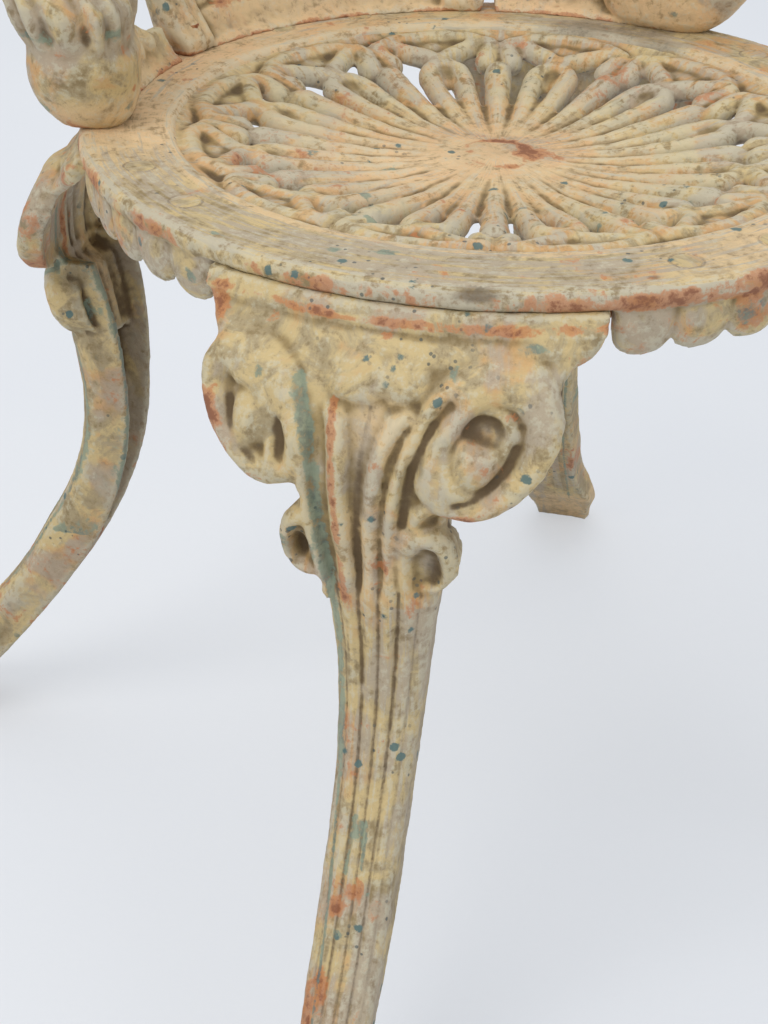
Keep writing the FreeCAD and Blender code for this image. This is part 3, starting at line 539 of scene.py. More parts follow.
def dish_height(radius):
    """Top of the openwork, from the rim's top."""
    return along(DISH, np.clip(np.asarray(radius, dtype=float), 0, 175))


def on_seat_turned(radius, turn, axis_turn, sink=0.0):
    """A point on the dish; turn is in degrees from the unit's axis, and sink is the depth below its top."""
    turn = math.radians(axis_turn + turn)
    return Vector((radius * math.cos(turn), radius * math.sin(turn), SEAT_TOP + float(dish_height(radius)) - sink))


def on_seat(radius, off, axis_turn, sink=0.0):
    """The same, with the distance off the axis in millimetres."""
    return on_seat_turned(radius, math.degrees(math.asin(off / radius)), axis_turn, sink)


def plain_spoke(axis):
    widths = [(16, 2.4), (40, 4.0), (66, 5.8), (90, 7.0), (108, 7.8), (123.0, 8.2)]
    path = [on_seat(radius, 0.0, axis, half * 0.95) for radius, half in widths]
    return rod(path, [half for radius, half in widths], sides=14, flat=1.05)


def hairpin(axis):
    """One loop: two legs that meet round the nose."""
    side = [(16, 1.8, 2.4), (45, 3.1, 3.9), (66, 4.7, 5.1), (80, 6.2, 5.6), (96, 8.0, 6.0), (112, 9.2, 6.3)]
    nose = [(117 + 9.3 * math.sin(math.radians(turn)), 9.3 * math.cos(math.radians(turn)))
            for turn in (10, 38, 64, 90, 116, 142, 170)]
    path = [on_seat(radius, off, axis, half * 0.95) for radius, off, half in side]
    radii = [half for radius, off, half in side]
    path += [on_seat(radius, off, axis, 6.0) for radius, off in nose]
    radii += [6.4] * len(nose)
    path += [on_seat(radius, -off, axis, half * 0.95) for radius, off, half in reversed(side)]
    radii += [half for radius, off, half in reversed(side)]
    return rod(path, radii, sides=14, flat=1.05)


def nose_web(axis):
    return rod([on_seat(112, 0, axis, 6.8), on_seat(120, 0, axis, 6.0)], [5.5, 6.0], sides=10, flat=0.7)


def loop_web(axis):
    """The floor between a loop's legs, up to the teardrop hole."""
    return rod([on_seat(30, 0, axis, 6.0), on_seat(58, 0, axis, 5.6), on_seat(84, 0, axis, 6.0)],
               [2.0, 3.2, 4.0], sides=8, flat=0.8)


def link_arm(axis, side):
    """From a loop's nose, low and wide towards the next spoke, round a bend and back to a lobe beside that spoke."""
    trail = [(130.0, 0.6, 6.2), (136.5, 2.0, 6.0), (140.5, 4.4, 5.8), (144.5, 6.8, 5.7), (149.0, 9.0, 5.8),
             (152.5, 11.0, 6.0), (151.5, 12.7, 6.0), (146.0, 13.1, 6.0), (140.0, 12.7, 6.4), (134.5, 12.0, 7.2)]
    path = [on_seat_turned(radius, side * turn, axis, half * 0.95) for radius, turn, half in trail]
    return rod(path, [half for radius, turn, half in trail], sides=12, flat=1.05)


def link_band(axis):
    """The rib along the rim that closes a link's two bends."""
    trail = [(152.5, -11.4), (156.5, -8.8), (158.8, -5.0), (159.6, 0.0), (158.8, 5.0), (156.5, 8.8), (152.5, 11.4)]
    return rod([on_seat_turned(radius, turn, axis, 5.4) for radius, turn in trail], [5.7] * len(trail), sides=12)


def link_floor(axis):
    """The sunk skin between a link's band and its arms."""
    return rod([on_seat_turned(150.0, turn, axis, 7.6) for turn in (-8, -4, 0, 4, 8)], [5.0, 8.5, 10.0, 8.5, 5.0],
               sides=12, flat=0.45)


def spoke_root(axis):
    """The pad under a spoke's nose that carries the two lobes."""
    return rod([on_seat(122.0, 0, axis, 6.5), on_seat(139.0, 0, axis, 7.0)], [5.5, 5.0], sides=10, flat=0.6)


def openwork_unit():
    parts = [plain_spoke(0.0), spoke_root(0.0), hairpin(15.0), nose_web(15.0), loop_web(15.0), link_floor(15.0),
             link_band(15.0)]
    for side in (-1, 1):
        parts.append(link_arm(15.0, side))
    return parts


disc_profile = [(0.01, -17.2), (13, -17.3), (17.5, -17.9), (20.5, -19.0), (24, -19.2), (36, -20.0), (48, -21.2),
                (64, -21.8), (78, -20.9), (80.5, -22.6), (78, -25.0), (60, -26.5), (30, -26.5), (0.01, -26.0)]
inner_ring = [(156.5, -12.5), (157.5, -8.0), (162, -5.0), (169, -2.4), (170, -12.5), (163, -15.0)]
seat_parts = [lathe(disc_profile, 180), lathe(inner_ring, 240),
              ringed(joined(openwork_unit()), PAIRS, PATTERN_TURN, 360 / PAIRS, iron_seat)]
openwork = cast("seat_openwork", seat_parts, 1.8, 2, [(9.0, 0.4), (4.2, 0.2)], "seat", iron_seat)
reach, turn, height = round_places(openwork.data)
across, ahead = reach * np.cos(np.radians(turn)), reach * np.sin(np.radians(turn))
below = dish_height(reach) - height
# painted shade: darker under the inner rim and down the sides of the spokes and loops below the dish's top, laid as the
# "dark" stain
shade_under_rim = np.clip(1 - np.abs(reach - 163) / 9, 0, 1) * np.clip((-height - 7.5) / 4, 0, 1)
shade_on_flanks = np.clip((below - 3.2) / 5, 0, 1) * np.clip((reach - 40) / 50, 0.3, 1)
stain(openwork.data, "dark", np.maximum(0.7 * shade_under_rim, 0.8 * shade_on_flanks))
rear = np.clip(1.2 - np.abs((turn - 150 + 180) % 360 - 180) / 70, 0, 1) * (reach > 150)
stain(openwork.data, "cream", np.clip(1.2 - reach / 78, 0, 0.95) + 0.55 * patches(turn, reach, [(170, 80, 42, 50)])
      + 0.25 * rear)
stain(openwork.data, "rust", np.clip(1.3 - np.abs(reach - 19) / 3.5, 0, 1)
      + patches(across, ahead, [(-12, 9, 9, 7), (14, -9, 10, 8), (-17, -6, 6, 6), (92, -80, 6, 6), (60, 118, 7, 7)]))
stain(openwork.data, "teal", patches(turn, reach, [
    (172, 60, 5, 7), (196, 100, 3, 6), (204, 118, 4, 6), (186, 126, 3, 6), (158, 96, 2, 5), (212, 134, 3, 7),
    (262, 112, 2, 4)]))
stain(openwork.data, "grey", 0.9 * patches(turn, reach, [
    (150, 122, 9, 15), (176, 112, 7, 14), (100, 130, 12, 16), (60, 130, 14, 18), (232, 128, 10, 14), (330, 132, 22, 18),
    (290, 120, 10, 12), (15, 120, 12, 14), (205, 122, 8, 12)]))


# Rim, with its worn edges, and the scalloped apron between the legs

rim_profile = [(164.8, -9.4), (165.2, -5.0), (166.2, -2.4), (167.8, -0.9), (170.0, -0.25), (174, -0.1), (180, 0),
               (188, 0), (196, 0), (204, 0), (209, -0.05), (212.2, -0.5), (214.1, -1.8), (214.9, -4.0), (215.0, -6.5),
               (214.6, -8.8), (213.4, -10), (205, -10), (195, -10), (185, -10), (175, -10), (167, -10)]


def rim_shape(radius, height, turn):
    """A little out of round and worn at the edge."""
    bite = 0.0
    if radius > 208:
        where = Vector((math.cos(math.radians(turn)) * 20, math.sin(math.radians(turn)) * 20, height * 0.15))
        bite = -0.9 * max(0.0, noise.noise(where) + 0.05) - 0.35 * max(0.0, noise.noise(where * 4.0))
    return radius + bite, height


def apron_ring(start):
    """One run of five scallops."""
    beside_leg = 25.8
    sweep = 90 - 2 * beside_leg
    steps = 150
    levels = 12
    points = []
    for step in range(steps + 1):
        share = min(max(step / steps, 1e-6), 1 - 1e-6)
        turn = start + beside_leg + sweep * share
        across = (share * 5) % 1.0 * 2 - 1
        lobe = math.sqrt(max(0.0, 1 - abs(across) ** 2.4))
        low = -24.5 - 11.5 * lobe
        bulge = 3.0 * lobe
        loop = []
        for level in range(levels):
            fall = level / (levels - 1)
            height = -9.0 + (low + 9.0) * fall
            out = 209.6 + bulge * math.sin(math.pi * min(1.0, fall * 0.9 + 0.15)) + 1.6 * (1 - fall) ** 2
            if fall > 0.86:
                out -= 3.2 * ((fall - 0.86) / 0.14) ** 2
            loop.append((out, height))
        for level in reversed(range(levels)):
            fall = level / (levels - 1)
            height = -9.0 + (low + 9.0) * fall
            inner = 204.9 + (2.4 * ((fall - 0.8) / 0.2) ** 2 if fall > 0.8 else 0)
            loop.append((inner, height + (0.6 if fall > 0.99 else 0)))
        angle = math.radians(turn)
        points += [(radius * math.cos(angle), radius * math.sin(angle), SEAT_TOP + height)
                   for radius, height in loop]
    ring = 2 * levels
    ends = [tuple(range(ring)), tuple(reversed(range(steps * ring, steps * ring + ring)))]
    return points, walls(steps + 1, ring) + ends


rim_parts = [lathe(rim_profile, 720, shape=rim_shape)]
rim_parts += [apron_ring(45.0 + 90.0 * number) for number in range(4)]
rim = cast("seat_rim", rim_parts, 1.6, 2, [(14.0, 0.3), (3.0, 0.14)], "seat", iron_rim)
reach, turn, height = round_places(rim.data)
front = np.clip(1.15 - np.abs((turn - 225 + 180) % 360 - 180) / 85, 0, 1)
rough = patches(turn, reach, [(30, 180, 9, 22), (40, 174, 12, 18), (24, 168, 8, 12)])
left = patches(turn, reach, [(193, 200, 26, 34)])
stain(rim.data, "grey", np.maximum(np.maximum(front * 0.9, left * 0.9), rough * 1.3))
rear = np.clip(1.3 - np.abs((turn - 135 + 180) % 360 - 180) / 62, 0, 1) * (height > -9)
right = patches(turn, reach, [(292, 195, 30, 30)]) * (height > -9)
inner_edge = (reach < 176) * (height > -9)
stain(rim.data, "cream", np.maximum(np.maximum(rear * 1.2 * (1 - left), right), 0.7 * inner_edge) * (1 - rough))
worn = np.clip((reach - 211.5) / 2.5, 0, 1) * np.clip((-height - 1.0) / 3, 0, 1) * (height > -11)
rusted = patches(turn, np.zeros_like(turn), [
    (255, 0, 17, 1), (212, 0, 6, 1), (190, 0, 7, 1), (160, 0, 12, 1), (300, 0, 20, 1)])
stain(rim.data, "rust", worn * (0.35 + 0.65 * rusted)
      + 0.8 * patches(turn, reach, [(247, 212, 3, 3), (268, 213, 5, 3), (243, 214, 3, 4)]))
plugs = np.zeros_like(turn)
for leg_turn in LEG_TURNS.values():
    for aside in (-37.4, 37.4):
        place = math.radians(leg_turn + aside)
        gap = np.hypot(reach * np.cos(np.radians(turn)) - 192 * math.cos(place),
                       reach * np.sin(np.radians(turn)) - 192 * math.sin(place))
        plugs = np.maximum(plugs, np.clip(1.3 - np.abs(gap - 8.0) / 1.4, 0, 1) * (height > -4))
blotch = patches(turn, height, [(234.2, -2.5, 3.8, 4.0)]) * (reach > 208)
pit = patches(turn, reach, [(256, 204, 1.3, 3)])
stain(rim.data, "dark", np.maximum(np.maximum(plugs * 0.8, blotch), 0.75 * rough + 0.9 * pit))
on_top = patches(turn, reach, [(221, 183, 2.4, 4), (214, 190, 1.5, 3), (283, 207, 2, 4), (199, 206, 2, 3)])
on_apron = patches(turn, height, [(268, -20, 2.5, 7), (204, -18, 1.6, 5), (196, -22, 1.2, 5), (278, -26, 1.6, 4)])
stain(rim.data, "teal", on_top + on_apron * (height < -11))


# Drawing on a casting's face: across and down are millimetres as seen from outside, right and up positive

def smooth_path(points, count=40):
    """A smooth line through drawn points."""
    points = np.asarray(points, dtype=float)
    steps = np.concatenate([[0], np.cumsum(np.hypot(*np.diff(points, axis=0).T))])
    read = np.linspace(0, steps[-1], count)
    return np.column_stack([along(list(zip(steps, points[:, column])), read) for column in range(points.shape[1])])


def distance_to(path, across, up):
    """Distance from a drawn line and the share of its length at the nearest point."""
    path = np.asarray(path, dtype=float)
    lengths = np.hypot(*np.diff(path, axis=0).T)
    total = lengths.sum()
    nearest = np.full(across.shape, 1e9)
    place = np.zeros(across.shape)
    done = 0.0
    for (x0, y0), (x1, y1), length in zip(path, path[1:], lengths):
        share = np.clip(((across - x0) * (x1 - x0) + (up - y0) * (y1 - y0)) / max(length, 1e-9) ** 2, 0, 1)
        gap = np.hypot(across - x0 - share * (x1 - x0), up - y0 - share * (y1 - y0))
        closer = gap < nearest
        nearest = np.where(closer, gap, nearest)
        place = np.where(closer, (done + share * length) / total, place)
        done += length
    return nearest, place


def inside_of(outline, across, up):
    inside = np.zeros(across.shape, dtype=bool)
    for (x0, y0), (x1, y1) in zip(outline, outline[1:] + outline[:1]):
        crosses = (y0 > up) != (y1 > up)
        at = x0 + (up - y0) * (x1 - x0) / (y1 - y0 if y1 != y0 else 1e-9)
        inside ^= crosses & (across < at)
    return inside


class Relief:
    """Height of carved detail over a face."""

    def __init__(self, across, up):
        self.across = across
        self.up = up
        self.lift = np.zeros(across.shape)

    def line(self, points, *sizes):
        """Distance to a drawn line, the place along it, and each size there; a size may be (start, end)."""
        gap, place = distance_to(smooth_path(points), self.across, self.up)
        pairs = [size if isinstance(size, tuple) else (size, size) for size in sizes]
        return [gap, place] + [np.interp(place, (0, 1), pair) for pair in pairs]

    def ridge(self, points, width, height, ends=0.0):
        """A round-topped rib along a line."""
        gap, place, width, height = self.line(points, width, height)
        if ends:
            height = height * np.clip(np.minimum(place, 1 - place) / ends, 0, 1) ** 0.5
        bar = height * np.sqrt(np.clip(1 - (gap / width) ** 2, 0, 1))
        skirt = 0.25 * height * np.clip(1.7 - gap / width, 0, 1) ** 2
        self.lift = np.maximum(self.lift, np.maximum(bar, skirt))

    def groove(self, points, width, depth):
        gap, place, width, depth = self.line(points, width, depth)
        self.lift = self.lift - depth * np.exp(-(gap / width) ** 2)

    def dome(self, across, up, wide, high, height, lean=0.0, sharp=2.0):
        """A rounded swelling, or a hollow with a negative height."""
        cos, sin = math.cos(math.radians(lean)), math.sin(math.radians(lean))
        x = ((self.across - across) * cos + (self.up - up) * sin) / wide
        y = (-(self.across - across) * sin + (self.up - up) * cos) / high
        self.lift = self.lift + height * np.clip(1 - (x * x + y * y) ** (sharp / 2), 0, 1)

    def roll_off(self, edge, reach, drop):
        gap, place = distance_to(edge, self.across, self.up)
        self.lift = self.lift - drop * np.clip(1 - gap / reach, 0, 1) ** 2


def slab(across, up, mask, front, back):
    """A thick plate over the masked cells of a grid; front and back are points over the grid."""
    rows, columns = across.shape
    points = np.concatenate([front.reshape(-1, 3), back.reshape(-1, 3)])
    shift = rows * columns
    faces = []
    cells = mask[:-1, :-1] & mask[1:, :-1] & mask[:-1, 1:] & mask[1:, 1:]
    padded = np.pad(cells, 1)
    for row, column in zip(*np.nonzero(cells)):
        a = row * columns + column
        b, c, d = a + 1, a + columns + 1, a + columns
        faces += [(a, b, c, d), (a + shift, d + shift, c + shift, b + shift)]
        for down, aside, start, end in ((-1, 0, b, a), (1, 0, d, c), (0, -1, a, d), (0, 1, c, b)):
            if not padded[row + 1 + down, column + 1 + aside]:
                faces.append((start, end, end + shift, start + shift))
    used = np.unique(np.array(faces))
    number = np.zeros(len(points), dtype=np.int64)
    number[used] = np.arange(len(used))
    return points[used], [tuple(face) for face in number[np.array(faces)]]


# Legs: a scrolled head on a flange under the rim, a reeded shaft open at the back, a clawed foot.
# Heights are measured from the rim's top.

LEG_FRONT = [(-8, 214), (-20, 221), (-45, 236), (-75, 244.5), (-100, 244), (-130, 237), (-160, 231), (-190, 229),
             (-220, 233), (-250, 243), (-280, 259), (-310, 276), (-340, 298), (-370, 322), (-388, 338), (-400, 347),
             (-412, 357), (-422, 364), (-430, 367), (-435, 367.5)]
LEG_BACK = [(-88, 220), (-126, 209), (-165, 205), (-226, 209), (-284, 231), (-347, 272), (-385, 302), (-400, 315),
            (-412, 328), (-424, 339), (-435, 348)]
SHAFT_HALF = [(-88, 29), (-100, 30), (-142, 27), (-170, 23.5), (-205, 20.5), (-245, 18.5), (-330, 17.6), (-375, 17.4),
              (-388, 20.6), (-400, 24.6), (-411, 25.0), (-422, 21.4), (-435, 19.8)]
SHAFT_FLANGE = [(-88, 20), (-130, 24), (-200, 21), (-260, 16), (-292, 0.3), (-435, 0.3)]
HEAD_RIGHT = [(91.5, -10), (91.5, -23), (88, -28), (80, -32), (76, -39), (79, -49), (78, -60), (72, -73), (63, -84),
              (53, -92), (42, -96), (33, -95), (27, -97), (25.5, -101), (30, -104), (36, -110), (38.5, -119),
              (37, -129), (31, -137.5), (24, -143), (22, -152)]
HEAD_LEFT = [(-24, -152), (-28, -143), (-40, -140), (-46, -131), (-47.5, -119), (-44, -107), (-38, -100), (-36, -94),
             (-41, -91), (-50, -93.5), (-60, -91), (-70, -82), (-79, -69), (-85, -55), (-88, -43), (-83, -36),
             (-88, -28), (-91.5, -23), (-91.5, -10)]
SCROLL_RING = [(27, -49), (36, -38), (48, -33.5), (61, -36), (70, -46), (72, -59), (66, -74), (55, -85), (42, -88),
               (31, -83), (24, -72), (23, -60), (28, -49)]
LEFT_SCROLL = [(-42, -49), (-50, -40), (-63, -37), (-76, -43), (-79, -55), (-73, -69), (-63, -80), (-51, -85),
               (-42, -79), (-38, -68), (-39, -57)]


def leg_point(turn, across, height, lift):
    """Points on the leg's front, wrapped round the seat's axis."""
    radius = along(LEG_FRONT, height)
    angle = math.radians(turn) + np.arcsin(across / radius)
    radius = radius + lift
    return np.stack([radius * np.cos(angle), radius * np.sin(angle), SEAT_TOP + height], axis=-1)


def head_relief(across, height):
    face = Relief(across, height)
    # soft domes below the top band, and the scrolls
    face.dome(-12, -36, 16, 13, 5.2, sharp=2.6)
    face.dome(9, -36, 12, 12, 4.4, sharp=2.6)
    face.ridge([(-30, -26), (-5, -24.5), (22, -27), (50, -24), (86, -19)], 4.5, (1.6, 2.6))
    face.dome(47, -60, 25, 28, 3.4)
    face.dome(-60, -60, 21, 25, 3.0)
    face.ridge(SCROLL_RING, 10.0, 8.6)
    face.ridge(LEFT_SCROLL, 9.0, 7.0)
    face.dome(49, -53, 13, 9.5, -7.5, lean=15, sharp=2.4)
    face.dome(40, -69, 12, 15, 6.0, lean=-20)
    face.ridge([(33, -50), (43, -43.5), (54, -47), (58, -56), (54, -64)], 3.0, (5.0, 2.6), ends=0.1)
    face.groove([(36, -85), (47, -80), (56, -70), (59, -60)], 3.4, 2.6)
    face.ridge([(-66, -44), (-55, -46), (-48, -55), (-45, -66), (-47, -76)], 4.8, 6.2)
    face.dome(-44, -68, 5.5, 13, -5.5, lean=8)
    face.dome(-60, -62, 9, 16, 4.6, lean=-14)
    face.dome(-74, -48, 7, 8, -3.0, lean=-30)
    face.groove([(-70, -56), (-66, -70), (-56, -80)], 3.0, 2.2)
    # reeds that rise from the shaft and fan out towards the scrolls
    face.ridge([(-24, -152), (-28, -120), (-32, -92), (-35, -62), (-43, -42)], (3.4, 3.8), 5.4)
    face.ridge([(-13, -152), (-15, -120), (-17, -90), (-18, -65), (-21, -48)], (4.8, 5.4), 5.8, ends=0.08)
    face.ridge([(-3, -152), (-2.5, -120), (-1, -95), (1, -72), (7, -55), (12, -48)], (3.8, 4.2), 4.8)
    face.ridge([(5, -152), (5.5, -122), (7.5, -98), (10.5, -76), (16, -60), (24, -48)], (3.6, 3.8), 5.0)
    face.ridge([(14, -150), (13, -128), (14, -108), (18, -96), (24, -90)], (3.2, 4.2), 4.2)
    face.groove([(-34, -43), (-29, -58), (-26.5, -78), (-23.5, -100), (-20, -150)], (4.6, 2.4), (5.2, 3.2))
    face.groove([(-4, -49), (-7, -70), (-8, -95), (-8.5, -152)], 1.9, (4.0, 2.4))
    face.groove([(13, -100), (15, -82), (18.5, -66), (24, -52), (30, -43)], (2.8, 3.4), (4.6, 7.0))
    face.groove([(2.5, -150), (3, -112), (5, -85), (10, -62)], 1.5, 2.8)
    face.groove([(-22, -48.5), (-10, -49.5), (4, -49), (14, -46)], 2.0, 3.4)
    # small volutes at the neck
    face.ridge([(15, -113), (21, -107), (30, -109), (34, -119), (32, -130), (25, -138)], 5.2, 6.5)
    face.dome(24.5, -125, 5.8, 11.5, -9.5, lean=12, sharp=2.6)
    face.groove([(22, -134), (18.5, -150)], 3.2, 3.0)
    face.ridge([(-33, -104), (-41, -109), (-43.5, -119), (-41, -131), (-33, -138)], 4.8, 5.6)
    face.dome(-37.5, -125, 4.8, 9.5, -7.0)
    # worn top band with a bead
    face.lift = face.lift + 1.2 * smooth_step(height, -19.5, -17.5)
    face.groove([(-92, -20.5), (92, -20.5)], 1.6, 1.2)
    face.groove([(-92, -24), (-60, -27), (-45, -33), (-38, -40)], 3.0, 1.6)
    face.roll_off(HEAD_RIGHT[1:-1], 6.5, 5.0)
    face.roll_off(HEAD_LEFT[1:-1], 6.5, 5.0)
    return face.lift


def shaft_relief(share, height):
    """Reeds and creases down the front of the shaft; share runs from -1 to 1 across it."""
    reeds = np.zeros(share.shape)
    for centre, wide, lift in ((-0.86, 0.17, 2.2), (-0.52, 0.19, 3.8), (-0.14, 0.18, 3.6), (0.22, 0.18, 4.0),
                               (0.58, 0.18, 3.4), (0.88, 0.15, 2.0)):
        reeds = np.maximum(reeds, lift * np.sqrt(np.clip(1 - ((share - centre) / wide) ** 2, 0, 1)))
    fade = smooth_step(height, -400, -372)
    toes = np.zeros(share.shape)
    for centre in (-0.68, 0.0, 0.68):
        toes = np.maximum(toes, 5.0 * np.sqrt(np.clip(1 - ((share - centre) / 0.36) ** 2, 0, 1)))
    foot = 1 - smooth_step(height, -404, -380)
    heel = smooth_step(height, -436, -422)
    return reeds * fade + toes * foot * (0.45 + 0.55 * heel) + 3.0 * (1 - share ** 2) * fade


def leg_parts(turn):
    parts = []
    # head, as a plate carved on its face
    across, height = np.meshgrid(np.arange(-93.0, 93.5, 1.1), np.arange(-10.0, -153.0, -1.1))
    mask = inside_of(HEAD_RIGHT + HEAD_LEFT, across, height - 0.01)
    lift = head_relief(across, height)
    wall = 7.5 + 9.0 * (1 - smooth_step(height, -112, -98)) + 3.0 * smooth_step(height, -24, -14)
    front = leg_point(turn, across, height, lift)
    back = leg_point(turn, across, height, np.minimum(lift * 0.35, 2.0) - wall)
    parts.append(slab(across, height, mask, front, back))
    # shaft and foot, section by section
    sections = []
    heights = np.concatenate([np.arange(-97.0, -388.0, -2.0), np.arange(-388.0, -435.0, -1.5), [-435.0]])
    shares = np.linspace(-1, 1, 41)
    for level in heights:
        half = float(along(SHAFT_HALF, np.array([level]))[0])
        behind = float(along(LEG_BACK, np.array([level]))[0])
        depth = max(0.3, float(along(SHAFT_FLANGE, np.array([level]))[0]))
        wide = shares * half
        ahead = along(LEG_FRONT, np.array([level]))[0]
        if level > -150:
            carved = head_relief(wide, np.full(wide.shape, level))
            share_low = shaft_relief(shares, np.full(wide.shape, level))
            mix = float(smooth_step(np.array(level), -150, -132))
            lift = carved * mix + share_low * (1 - mix)
        else:
            lift = shaft_relief(shares, np.full(wide.shape, level))
        lift = lift - 4.5 * np.clip((np.abs(shares) - 0.74) / 0.26, 0, 1) ** 2
        toe = 1.0 - 0.03 * np.abs(shares) ** 3 * (1 - smooth_step(np.array(level), -404, -380))
        radius = (ahead + lift) * toe
        outer = [(r * math.cos(w / ahead), w) for r, w in zip(radius, wide)]
        wall = 6.2
        inner = max(behind + 0.05, min(behind + depth, ahead - wall - 2.0)) if depth > 1 else behind + 0.05
        side = min(behind, radius[0] - 7.0)
        trough = max(half - wall, 2.0) * (0.55 if depth < 6 else 1.0)
        section = outer + [(side + 2.0, half * 0.97), (side, half * 0.90), (behind, trough),
                           (inner, trough * 0.8), (inner, -trough * 0.8), (behind, -trough),
                           (side, -half * 0.90), (side + 2.0, -half * 0.97)]
        cos, sin = math.cos(math.radians(turn)), math.sin(math.radians(turn))
        sections.append([(r * cos - w * sin, r * sin + w * cos, SEAT_TOP + level) for r, w in section])
    parts.append(lofted(sections))
    # flange under the rim
    flange = [(174.5, -10.0), (213.0, -10.0), (213.0, -17.5), (205.0, -18.0), (175.5, -18.0), (174.5, -17.0)]
    parts.append(lathe(flange[:1] + [(204.0, -10.0), (204.0, -18.0)] + flange[4:], 120, turn - 40.8, 81.6))
    parts.append(lathe(flange, 80, turn - 25.2, 50.4))
    return parts


def lines(across, up, drawn):
    """Painted lines: (points, half width)."""
    value = np.zeros(across.shape)
    for points, half in drawn:
        gap, place = distance_to(smooth_path(points, 24), across, up)
        value = np.maximum(value, 1.5 - gap / half)
    return np.clip(value, 0, 1)


def leg_stains(mesh, turn, hand):
    """Rust, runs of old teal paint and grey film in the places where this leg has them, and painted shade in its carved
    hollows, grooves, reed creases and on its back.
    """
    reach, way, height = round_places(mesh)
    off = np.radians((way - turn + 180) % 360 - 180)
    across = hand * reach * np.sin(np.clip(off, -1.2, 1.2))
    outer = off < 1.2
    stain(mesh, "teal", outer * np.maximum(
        lines(across, height, [([(-38, -42), (-33, -58), (-29, -80), (-26, -105), (-23, -140)], 3.6),
                               ([(-23, -140), (-20, -165), (-18, -200), (-15, -245)], 2.6),
                               ([(-15, -245), (-12, -290), (-10, -330), (-9, -400)], 1.3),
                               ([(-28, -150), (-25, -205), (-21, -245), (-18, -280)], 1.4),
                               ([(-4, -260), (-5, -284)], 1.5), ([(2, -262), (3, -281)], 1.5)]),
        patches(across, height, [(-1, -265, 6, 6), (-45, -122, 4, 8), (-30, -125, 3, 9), (-56, -40, 3, 4),
                                 (8, -292, 3, 2),
                                 (30, -31, 4, 3), (62, -22, 9, 3), (-4, -310, 4, 3)])))
    stain(mesh, "rust", outer * np.maximum(
        lines(across, height, [([(-21, -48), (-18, -90), (-15, -145)], 2.2), ([(-90, -15), (-30, -16), (90, -15)], 2.2),
                               ([(-86, -30), (-88, -45), (-82, -66), (-66, -88)], 3.6)]),
        patches(across, height, [(3, -127, 3.5, 3.5), (-15, -146, 3, 7), (2, -290, 4, 5), (-7, -300, 4, 5),
                                 (-9, -332, 4, 9), (-14, -345, 3, 12), (-80, -60, 7, 16), (-62, -87, 12, 7),
                                 (40, -92, 9, 4), (84, -27, 9, 8),
                                 (-82, -22, 7, 7), (-55, -22, 6, 4), (57, -47, 4, 4), (-4, -22, 6, 3)])))
    stain(mesh, "grey", outer * np.maximum(
        0.75 * np.clip((across - 2) / 10, 0, 1) * (height < -150),
        patches(across, height, [(-6, -75, 9, 28), (-70, -50, 10, 14), (68, -48, 10, 16), (24, -118, 7, 14),
                                 (0, -200, 9, 30)])))
    stain(mesh, "cream", np.maximum(0.7 * outer * patches(across, height, [(-2, -118, 16, 26), (0, -58, 16, 14)]),
                                    0.8 * np.clip((-388 - height) / 12, 0, 1)))
    stain(mesh, "reeded", np.clip((-118 - height) / 30, 0, 1) * outer)
    half = along(SHAFT_HALF, np.clip(height, -435, -88))
    # creases between the reeds, darkened as painted shade
    crease_shade = np.zeros(across.shape)
    for share in (-0.70, -0.33, 0.04, 0.40, 0.74):
        crease_shade = np.maximum(crease_shade, np.clip(1.3 - np.abs(across - share * half) / 1.3, 0, 1))
    crease_shade = crease_shade * (height < -140) * (height > -380) * outer
    behind = reach < along(LEG_FRONT, np.clip(height, -435, -8)) - 9
    deep = patches(across, height, [(43, -52, 12, 8), (-45, -66, 4, 11), (25, -125, 4, 8), (21, -66, 3, 14)])
    carved = lines(across, height, [([(-4, -49), (-7, -70), (-8, -95), (-8.5, -152)], 1.5),
                                    ([(13, -100), (15, -82), (18.5, -66), (24, -52)], 2.2),
                                    ([(36, -85), (47, -80), (56, -70), (59, -60)], 2.2),
                                    ([(-70, -56), (-66, -70), (-56, -80)], 2.0)])
    # dark: painted shade in the carved hollows and grooves, in the creases, and on the leg's back behind its front face
    stain(mesh, "dark", np.maximum(outer * np.maximum(deep * 0.7, carved * 0.6),
                                   np.maximum(crease_shade * 0.65, behind * 0.55 * (height < -20))))


for leg_node, leg_turn in LEG_TURNS.items():
    leg = cast(leg_node, leg_parts(leg_turn), 1.4, 1, [(16.0, 0.45), (3.2, 0.18)], leg_node, iron_leg)
    set_points(leg.data, np.maximum(points_of(leg.data), (-1e4, -1e4, 0.05)))
    leg_stains(leg.data, leg_turn, 1 if leg_node in ("front_left_leg", "rear_right_leg") else -1)


# Back: a hoop with a fan of ribs over a carved panel, standing on a coved rail. Heights are from the rim's top.

BACK_SIDE = [(100, 4), (103, 30), (121, 80), (133, 140), (136.5, 190), (136.5, 243), (128, 286), (111, 322),
             (86, 351), (50, 377), (0, 394)]
FAN_HEIGHT = 92.0
FAN_RIBS = 13
FAN_FIRST = -12.0
FAN_STEP = 17.0
FAN_REACH = 200.0
BOSS = 26.0


def shell_radius(height):
    return np.interp(height, (0, 100, 405), (205, 245, 258))


def on_back(across, height, out=0.0):
    """A point of the back's round flared shell; across is to the sitter's left and right."""
    radius = shell_radius(height) + out
    return Vector((across, math.sqrt(radius ** 2 - across ** 2), SEAT_TOP + height))


